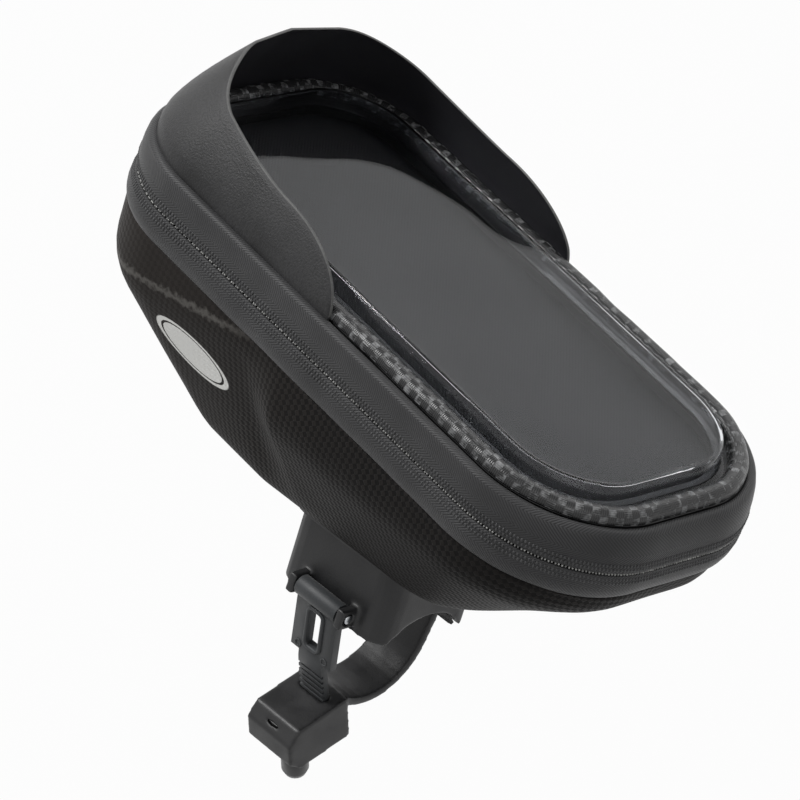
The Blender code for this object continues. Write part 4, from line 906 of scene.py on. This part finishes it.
def newTree(name, labels):
    # a geometry tree that takes these inputs beside its geometry
    tree = bpy.data.node_groups.new(name, "GeometryNodeTree")
    for label, kind in (("Geometry", "Geometry"), *labels):
        tree.interface.new_socket(label, in_out="INPUT", socket_type="NodeSocket" + kind)
    tree.interface.new_socket("Geometry", in_out="OUTPUT", socket_type="NodeSocketGeometry")
    return tree, addNode(tree, "NodeGroupInput")


def endTree(tree, geometry, finish):
    finished = addNode(tree, "GeometryNodeSetMaterial", {"Geometry": geometry, "Material": finish})
    addNode(tree, "NodeGroupOutput", {"Geometry": finished[0]})
    return tree


def pathTree():
    # small rounded beads along a line
    tree, given = newTree("beadsAlong", (("Pitch", "Float"), ("Size", "Vector"), ("Spread", "Float"),
                                         ("Finish", "Material")))
    line = addNode(tree, "GeometryNodeMeshToCurve", {"Mesh": given["Geometry"]})[0]
    spaced = addNode(tree, "GeometryNodeResampleCurve", {"Curve": line, "Length": given["Pitch"]},
                     mode="LENGTH")[0]
    bead = addNode(tree, "GeometryNodeMeshUVSphere", {"Segments": 8, "Rings": 5,
                                                      "Radius": 1.0})[0]
    tangent = addNode(tree, "GeometryNodeInputTangent")[0]
    turn = addNode(tree, "FunctionNodeAlignRotationToVector", {"Vector": tangent}, axis="X",
                   pivot_axis="Z")[0]
    limits = [addNode(tree, "ShaderNodeMath", {0: 1.0, 1: given["Spread"]}, operation=kind)[0]
              for kind in ("SUBTRACT", "ADD")]
    chance = addNode(tree, "FunctionNodeRandomValue", {0: limits[0], 1: limits[1], "Seed": 7},
                     data_type="FLOAT_VECTOR")[0]
    size = addNode(tree, "ShaderNodeVectorMath", {0: given["Size"], 1: chance},
                   operation="MULTIPLY")[0]
    beads = addNode(tree, "GeometryNodeInstanceOnPoints", {
        "Points": spaced, "Instance": bead, "Rotation": turn, "Scale": size})[0]
    real = addNode(tree, "GeometryNodeRealizeInstances", {"Geometry": beads})[0]
    smooth = addNode(tree, "GeometryNodeSetShadeSmooth", {"Geometry": real})[0]
    return endTree(tree, smooth, given["Finish"])


def applyModifiers(piece):
    # what the modifiers make becomes the piece's plain mesh
    old = piece.data
    result = bpy.data.meshes.new_from_object(piece.evaluated_get(bpy.context.evaluated_depsgraph_get()))
    piece.modifiers.clear()
    piece.data = result
    bpy.data.meshes.remove(old)
    return result


def takeMesh(piece, tree, values):
    # sets the tree's inputs by their identifiers and keeps the result
    modifier = piece.modifiers.new("build", "NODES")
    modifier.node_group = tree
    for item in tree.interface.items_tree:
        if item.item_type == "SOCKET" and item.in_out == "INPUT" and item.name in values:
            modifier[item.identifier] = values[item.name]
    applyModifiers(piece)
    return piece


def lineObject(name, lines):
    mesh = bpy.data.meshes.new(name)
    points, edges = [], []
    for line in lines:
        start = len(points)
        points += line
        edges += [(start + i, start + i + 1) for i in range(len(line) - 1)]
    mesh.from_pydata([tuple(point) for point in points], edges, [])
    return newObject(name, mesh)


coil = {
    "bumps": {"Pitch": 1.15 * mm, "Size": (0.4 * mm, 0.34 * mm, 0.62 * mm), "Spread": 0.12,
              "Finish": coilCrown},
    "teeth": {"Pitch": 2.0 * mm, "Size": (0.32 * mm, 0.6 * mm, 0.42 * mm), "Spread": 0.08,
              "Finish": nylonCoil},
}
beadTree = pathTree()
# name, body, slot, replaced node, beads, (offset, drop) of each line, and its start past the hinge
for name, body, slotName, replaced, beads, places, start in (
        ("upper_coil_bumps", "lid", "zip_tape", (), "bumps", [(2.42, 10.8), (2.66, 9.5)], 1 * mm),
        ("lower_coil_bumps", "bag", "zip_tape", (), "bumps", [(2.42, 14.2), (2.66, 15.5)], 1 * mm),
        ("upper_teeth", "lid", "zip_coil", ["upper_zip_coil"], "teeth", [(1.5, 12.45)], 0.0),
        ("lower_teeth", "bag", "zip_coil", ["lower_zip_coil"], "teeth", [(1.5, 12.55)], 1 * mm)):
    paths = zip(*sectionRings(places, tape["hingeHalfWidth"] + start))
    beaded = takeMesh(lineObject(name, [list(path) for path in paths]), beadTree, coil[beads])
    settle(beaded, body, replaced)
print("zip coils made")

hinge = {"halfWidth": 16.5 * mm, "inner": 101.0 * mm, "outer": 102.2 * mm, "inset": 0.5 * mm,
         "top": 1.6 * mm, "foot": 22 * mm, "across": 24, "down": 22, "bow": 0.5 * mm,
         "unevenness": 0.15 * mm, "bumpSize": 12 * mm}


def makeHinge():
    rings = []
    for i in range(hinge["across"] + 1):
        x = hinge["halfWidth"] * (2 * i / hinge["across"] - 1)
        face, back = [], []
        for j in range(hinge["down"] + 1):
            share = j / hinge["down"]
            drop = hinge["top"] + (hinge["foot"] - hinge["top"]) * share
            bow = hinge["bow"] * math.sin(math.pi * share)
            wave = hinge["unevenness"] * noise.noise(Vector((x, drop, 0)) / hinge["bumpSize"])
            face.append(ringCentre + Vector((x, hinge["outer"] - hinge["inset"] + bow + wave, -drop)))
            back.append(ringCentre + Vector((x, hinge["inner"] + wave * 0.5, -drop)))
        rings.append(face + list(reversed(back)))
    piece = addPiece("hinge_cloth", None, [laminatedTape], gridMesh(rings, False),
                     ["hinge_strip"])
    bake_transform(piece)
    return piece


makeHinge()


def padBody(stations, toWorld, low, high, edge, crown, ripple=0.0):
    # a closed pad: rounded edge, crowned faces, pulled in towards its rim
    bm = bmesh.new()
    uvLayer = bm.loops.layers.uv.new("skin")
    steps, waveSize, middle, half = 8, 26 * mm, (low + high) / 2, (high - low) / 2
    loops = []
    for step in range(steps + 1):
        angle = math.pi * (step / steps - 0.5)
        inset, rise = edge * (1 - math.cos(angle)), middle + half * math.sin(angle)
        loops.append([bm.verts.new((x - nx * inset, y - ny * inset, rise)) for x, y, nx, ny in stations])
    joinRows(bm, loops)
    reachX = max(abs(station[0]) for station in stations)
    front, near = max(station[1] for station in stations), min(station[1] for station in stations)
    for loop, sign in ((loops[0], -1), (loops[-1], 1)):

        def face(a, b, share):
            point = a.lerp(b, share)
            across = 1 - (point.x / reachX) ** 2
            along = 1 - abs((2 * point.y - front - near) / (front - near)) ** 3
            wave = noise.noise(point / waveSize) * ripple
            point.z += sign * (crown * across ** 0.7 * along) + wave * across * along
            return point

        fillRows(bm, loop, face)
    flatUv(bm.faces, uvLayer, 1, 0)
    for vert in bm.verts:
        vert.co = toWorld(vert.co)
    return bm


def ringPoint(point):
    return ringCentre + Vector(point)


panel = {"inset": 3.2 * mm, "top": 6.1 * mm, "foot": 8.4 * mm, "edge": 1.1 * mm, "crown": 0.25 * mm,
         "ripple": 0.12 * mm}
panelStations = [(x - nx * panel["inset"], y - ny * panel["inset"], nx, ny)
                 for x, y, nx, ny in ringStations()]
pocketPanel = addPiece("pocket_pad", "lid", [liningKnit],
                       padBody(panelStations, ringPoint, -panel["foot"], -panel["top"], panel["edge"],
                               panel["crown"], panel["ripple"]), ["pocket_panel"])
touch = {"halfLength": 20 * mm, "halfWidth": 2.5 * mm, "y": -92.8 * mm, "loopTop": 3.8 * mm,
         "hookTop": 5.0 * mm, "thickness": 0.7 * mm, "corner": 1.0 * mm, "edge": 0.25 * mm}
stations = [(x, y + touch["y"], nx, ny) for x, y, nx, ny in outline(
    touch["halfLength"], touch["halfWidth"], -touch["halfWidth"], touch["corner"], touch["corner"])]
for name, node, top in (("loop_strip", "pocket_loop_strip", touch["loopTop"]),
                        ("hook_strip", "pocket_hook_strip", touch["hookTop"])):
    addPiece(name, "lid", [touchPile],
             padBody(stations, ringPoint, -top - touch["thickness"], -top, touch["edge"], 0.0), [node])

floorPad = {"halfWidth": 21 * mm, "halfLength": 25 * mm, "corner": 6 * mm, "low": 29.8 * mm,
            "high": 32.6 * mm, "edge": 1.3 * mm, "crown": 0.1 * mm, "ripple": 0.1 * mm}
padStations = outline(floorPad["halfWidth"], floorPad["halfLength"], -floorPad["halfLength"],
                      floorPad["corner"], floorPad["corner"])
innerPad = addPiece("inner_floor_pad", "bag", [liningKnit],
                    padBody(padStations, lambda point: stemPoint(*point), floorPad["low"],
                            floorPad["high"], floorPad["edge"], floorPad["crown"], floorPad["ripple"]),
                    ["floor_pad"])
print("pads and strips made")

saddle = {"inner": 18 * mm, "outer": 19.5 * mm, "span": math.radians(50), "halfLength": 20 * mm,
          "arcSteps": 64, "alongSteps": 30, "ribs": 16, "ribDepth": 0.45 * mm, "endRound": 0.25 * mm}


def makeSaddle():
    # moulded rubber saddle with ribs along the stem that grip it
    rings = []
    for i in range(saddle["alongSteps"] + 1):
        y = saddle["halfLength"] * (2 * i / saddle["alongSteps"] - 1)
        ease = saddle["endRound"] if i in (0, saddle["alongSteps"]) else 0.0
        top, bottom = [], []
        for j in range(saddle["arcSteps"] + 1):
            share = j / saddle["arcSteps"]
            angle = math.pi / 2 + saddle["span"] * (1 - 2 * share)
            rib = 0.5 + 0.5 * math.cos(share * math.tau * saddle["ribs"])
            for line, radius in ((top, saddle["outer"] - ease),
                                 (bottom, saddle["inner"] + ease + saddle["ribDepth"] * (1 - rib))):
                line.append(stemPoint(radius * math.cos(angle), y,
                                      radius * math.sin(angle) - saddle["inner"]))
        rings.append(top + list(reversed(bottom)))
    piece = addPiece("ribbed_saddle", "bracket", [softRubber], gridMesh(rings, False),
                     ["saddle_pad"])
    return piece


makeSaddle()


def softened(node, name, body, slot, material, width, grid=0.0):
    # a moulded piece: the bench shape with rounded edges, worn round over a fine grid where one is given
    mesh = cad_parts[node].data.copy()
    bm = bmesh.new()
    bm.from_mesh(mesh)
    bmesh.ops.remove_doubles(bm, verts=bm.verts, dist=2e-6)
    bmesh.ops.dissolve_limit(bm, angle_limit=math.radians(1.2), verts=bm.verts, edges=bm.edges)
    bmesh.ops.recalc_face_normals(bm, faces=bm.faces)
    bm.to_mesh(mesh)
    bm.free()
    mesh.materials.clear()
    mesh.materials.append(material)
    piece = newObject(name, mesh)
    if grid:
        cells = piece.modifiers.new("cells", "REMESH")
        cells.mode, cells.voxel_size, cells.use_smooth_shade = "VOXEL", grid, True
        worn = piece.modifiers.new("worn", "SMOOTH")
        worn.factor, worn.iterations = 0.5, int(width / grid * 5)
    else:
        bevel = piece.modifiers.new("edges", "BEVEL")
        bevel.width, bevel.segments, bevel.limit_method = width, 2, "ANGLE"
        bevel.angle_limit = math.radians(34)
    result = applyModifiers(piece)
    if not len(result.materials):
        result.materials.append(material)
    result.shade_smooth()
    if not grid:
        result.set_sharp_from_angle(angle=math.radians(40))
    return settle(piece, body, [node])


rounding = {                                         # edge radius of each moulded piece
    "stem_bracket": ("bracket_body", "bracket", "black_nylon", mouldedNylon, 0.9 * mm, 0.5 * mm),
    "clamp_arm": ("clamp_housing", "bracket", "black_nylon", mouldedNylon, 1.2 * mm, 0.45 * mm),
    "toothed_strap": ("belt_strap", "bracket", "strap_elastomer", strapElastomer, 0.3 * mm),
    "mount_plate": ("base_plate", "bag", "black_nylon", mouldedNylon, 0.6 * mm),
    "backing_plate": ("inner_plate", "bag", "black_nylon", mouldedNylon, 0.5 * mm),
    "tension_knob": ("tightening_knob", "knob", "knob_plastic", satinAcetal, 0.35 * mm),
    "release_button": ("push_button", "latch", "knob_plastic", satinAcetal, 0.4 * mm),
    "zip_slider": ("slider_body", "slider", "black_nickel", blackNickel, 0.25 * mm),
    "zip_puller": ("puller_tab", "puller", "black_rubber", softRubber, 0.4 * mm),
    "left_strap_pin": ("left_pin", "bracket", "plated_steel", zincPlate, 0.25 * mm),
    "right_strap_pin": ("right_pin", "bracket", "plated_steel", zincPlate, 0.25 * mm),
}
for node, (name, body, slotName, material, *sizes) in rounding.items():
    softened(node, name, body, slotName, material, *sizes)
print("moulded pieces softened:", len(rounding))

def rimTube(name, centre, halfLong, halfWide, corner, thick):
    # a raised rim moulded on the strap: a tube on a rounded rectangle in the plane of its run and Y
    steps, sides = 6, 10
    run = strapHead["run"]
    out, forward, sideways = Vector((run[1], 0, -run[0])), Vector((run[0], 0, run[1])), Vector((0, 1, 0))
    rings = []
    for cx, cy, start in ((1, 1, 0), (-1, 1, 90), (-1, -1, 180), (1, -1, 270)):
        for step in range(steps + 1):
            angle = math.radians(start + 90 * step / steps)
            normal = forward * math.cos(angle) + sideways * math.sin(angle)
            middle = (Vector(centre) + forward * cx * (halfLong - corner)
                      + Vector((0, cy * (halfWide - corner), 0)) + normal * corner)
            turns = [math.tau * side / sides for side in range(sides)]
            rings.append([stemPoint(*(middle + normal * thick * math.cos(turn)
                                      + out * thick * math.sin(turn))) for turn in turns])
    return addPiece(name, "bracket", [strapElastomer], gridMesh(rings, True))


# in the stem's frame: the strap's eye and the run down from it, then rim and mould marks on its face
strapHead = {"eye": (-23.5, -1.0), "run": (0.201, -0.979), "face": 1.3,
             "slotMiddle": 11.2, "slot": (7.2, 3.1), "corner": 1.8, "thick": 0.75,
             "marks": 19.6, "markSide": 5.6, "markHalf": 1.1, "markCorner": 1.05, "markThick": 0.3}


def strapPlace(distance, across=0.0):
    eye, run = strapHead["eye"], strapHead["run"]
    return ((eye[0] + run[0] * distance + run[1] * strapHead["face"]) * mm, across * mm,
            (eye[1] + run[1] * distance - run[0] * strapHead["face"]) * mm)


rimTube("slot_rim", strapPlace(strapHead["slotMiddle"]), *(side * mm for side in strapHead["slot"]),
        strapHead["corner"] * mm, strapHead["thick"] * mm)
for index, side in enumerate((-1, 1), 1):
    rimTube(f"round_mark_{index}", strapPlace(strapHead["marks"], side * strapHead["markSide"]),
            strapHead["markHalf"] * mm, strapHead["markHalf"] * mm, strapHead["markCorner"] * mm,
            strapHead["markThick"] * mm)
print("strap rims made")


def makeSpring():
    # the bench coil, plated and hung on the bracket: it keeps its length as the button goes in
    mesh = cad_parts["release_spring"].data.copy()
    mesh.materials.clear()
    mesh.materials.append(zincPlate)
    piece = settle(newObject("press_spring", mesh), "bracket", ["release_spring"])
    up = stemPoint(0, 0, 1)
    heights = [vert.co.dot(up) for vert in mesh.vertices]
    height = max(heights) - min(heights)
    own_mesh(piece)
    return height


print("release spring made, height:", round(makeSpring(), 5))

screw = {"pitchHalf": 15 * mm, "headRadius": 3.4 * mm, "headLow": 27.6 * mm, "headHeight": 1.8 * mm,
         "recess": 0.9 * mm, "recessWidth": 0.8 * mm, "recessReach": 1.9 * mm, "sides": 32,
         # shares of the head's radius and height, from the shank's end (a length in millimetres) up
         "profile": ((0.35, -9.0), (0.4, 0.0), (0.96, 0.0), (1.0, 0.25), (0.97, 0.6), (0.84, 0.88),
                     (0.66, 1.0))}


def screwHead():
    # pan head with a cross recess: rings that turn from the round rim into a cross
    bm = bmesh.new()
    turns = [math.tau * i / screw["sides"] for i in range(screw["sides"])]
    rings = []
    for share, rise in screw["profile"]:
        height = rise * screw["headHeight"] if rise >= 0 else rise * mm
        radius = share * screw["headRadius"]
        rings.append([bm.verts.new((radius * math.cos(angle), radius * math.sin(angle), height))
                      for angle in turns])
    top = screw["headHeight"]
    for scale, height in ((1.0, top), (0.8, top - screw["recess"])):
        row = []
        for angle in turns:
            nearest = abs((angle + math.pi / 4) % (math.pi / 2) - math.pi / 4)
            arm = screw["recessWidth"] / 2 / max(math.sin(nearest), 1e-3)
            reach = min(screw["recessReach"], max(arm, screw["recessWidth"] * 0.7)) * scale
            row.append(bm.verts.new((reach * math.cos(angle), reach * math.sin(angle), height)))
        rings.append(row)
    joinRows(bm, rings)
    bm.faces.new(rings[0])
    bm.faces.new(rings[-1])
    return newObject("screwHead", meshFrom(bm, "screwHead", 35))


def screwTree():
    # one screw on each point, each turned by its own chance amount
    tree, given = newTree("screwsOnPoints", (("Head", "Object"), ("Scale", "Float"),
                                             ("Finish", "Material")))
    head = addNode(tree, "GeometryNodeObjectInfo", {"Object": given["Head"]})["Geometry"]
    chance = addNode(tree, "FunctionNodeRandomValue", {0: (0, 0, 0), 1: (0, 0, math.pi), "Seed": 3},
                     data_type="FLOAT_VECTOR")[0]
    placed = addNode(tree, "GeometryNodeInstanceOnPoints", {
        "Points": given["Geometry"], "Instance": head, "Rotation": chance,
        "Scale": given["Scale"]})[0]
    real = addNode(tree, "GeometryNodeRealizeInstances", {"Geometry": placed})[0]
    return endTree(tree, real, given["Finish"])


def makeScrews():
    places = [(sx * screw["pitchHalf"], sy * screw["pitchHalf"], screw["headLow"])
              for sx in (-1, 1) for sy in (-1, 1)]
    piece = lineObject("mount_screws", [[point] for point in places])
    head = screwHead()
    takeMesh(piece, screwTree(), {"Head": head, "Scale": 1.0, "Finish": zincPlate})
    bpy.data.objects.remove(head)
    piece.data.transform(Matrix.Rotation(-stemTilt, 4, "X"))
    return settle(piece, "bag", [f"mount_screw_{i}" for i in range(1, 5)])


makeScrews()
print("screws made")


def directRays(tree):
    # 1 on rays from the camera or off a mirror or clear face, 0 on those that light a matte surface
    rays = addNode(tree, "ShaderNodeLightPath")
    seen = rays["Is Camera Ray"]
    for kind in ("Is Glossy Ray", "Is Transmission Ray"):
        seen = addNode(tree, "ShaderNodeMath", {0: seen, 1: rays[kind]}, operation="MAXIMUM")[0]
    return seen

lowest = min(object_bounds()[0].z, cadBounds[0][2])
ground = {"size": 4.0, "colour": "#8e8e8d", "shade": "#858584", "patch": 0.4, "gap": 0.2 * mm,
          "lift": 0.97}


def makeFloor():
    # matte painted board: pale, with the softest mottle
    material, tree, shader = newMaterial("paintedBoard", {"dark": ground["colour"], "Roughness": 0.9,
                                                          "Specular IOR Level": 0.1})
    shade = addNode(tree, "ShaderNodeMapRange", {"Value": objectNoise(tree, ground["patch"]),
                                                 "From Min": 0.3, "From Max": 0.7})[0]
    colour = addNode(tree, "ShaderNodeMix", {0: shade, 6: linear(ground["shade"]),
                                             7: linear(ground["colour"])}, data_type="RGBA")
    tree.links.new(colour[2], shader.inputs["Base Color"])
    # seen directly it is lifted towards white, and the pouch's shadow stays on it
    glow = addNode(tree, "ShaderNodeEmission", {"Color": (1, 1, 1, 1), "Strength": 1.0})[0]
    lift = addNode(tree, "ShaderNodeMath", {0: directRays(tree), 1: ground["lift"]},
                   operation="MULTIPLY")[0]
    mixed = addNode(tree, "ShaderNodeMixShader", {0: lift, 1: shader.outputs[0], 2: glow})
    tree.links.new(mixed[0], tree.nodes["Material Output"].inputs["Surface"])
    half, level = ground["size"] / 2, lowest - ground["gap"]
    mesh = bpy.data.meshes.new("ground")
    mesh.from_pydata([(-half, -half, level), (half, -half, level), (half, half, level),
                      (-half, half, level)], [], [(0, 1, 2, 3)])
    mesh.materials.append(material)
    newObject("ground", mesh)


makeFloor()

studio = {
    "worldShade": 0.3,                                # light of the room on matte surfaces
    "lamps": [                                       # place, size, power, all aimed at the pouch
        ((-0.75, 0.95, 0.85), 0.7, 20.0), ((-0.7, -0.9, 1.0), 1.2, 5.0), ((0.6, 0.4, 1.3), 1.0, 5.0)],
    "aim": (0.0, 0.0, 0.06),
}


def makeStudio():
    world = bpy.data.worlds.new("studio")
    bpy.context.scene.world = world
    world.use_nodes = True
    tree, room = world.node_tree, studio["worldShade"]
    background = tree.nodes["Background"].inputs
    shade = addNode(tree, "ShaderNodeMix", {0: directRays(tree), 6: (room, room, room, 1), 7: (1, 1, 1, 1)},
                    data_type="RGBA")[2]
    tree.links.new(shade, background["Color"])
    background["Strength"].default_value = 1.0
    for index, (where, size, power) in enumerate(studio["lamps"]):
        data = bpy.data.lights.new(f"softbox{index}", "AREA")
        data.shape, data.size, data.energy = "DISK", size, power
        lamp = newObject(f"softbox{index}", data)
        lamp.location = where
        lamp.rotation_euler = (Vector(where) - Vector(studio["aim"])).to_track_quat("Z", "Y").to_euler()


makeStudio()

view = {"azimuth": math.radians(-56.332), "elevation": math.radians(31.958), "roll": math.radians(24.853),
        "place": (-0.9687, -0.6254, 0.7791), "lens": 213.0, "sensor": 36.0, "clip": (0.01, 20.0)}


def makeCamera():
    data = bpy.data.cameras.new("camera")
    data.sensor_width, data.lens = view["sensor"], view["lens"]
    data.clip_start, data.clip_end = view["clip"]
    turn, lift, roll = view["azimuth"], view["elevation"], view["roll"]
    back = Vector((math.sin(turn) * math.cos(lift), -math.cos(turn) * math.cos(lift), math.sin(lift)))
    right = Vector((0, 0, 1)).cross(back).normalized()
    upward = back.cross(right)
    across = math.cos(roll) * right + math.sin(roll) * upward
    rise = -math.sin(roll) * right + math.cos(roll) * upward
    matrix = Matrix((across, rise, back)).transposed().to_4x4()
    matrix.translation = view["place"]
    camera = newObject("camera", data)
    camera.matrix_world = matrix
    bpy.context.scene.camera = camera


makeCamera()
scene = bpy.context.scene
scene.view_settings.view_transform = "Standard"
print("light, floor and camera made")
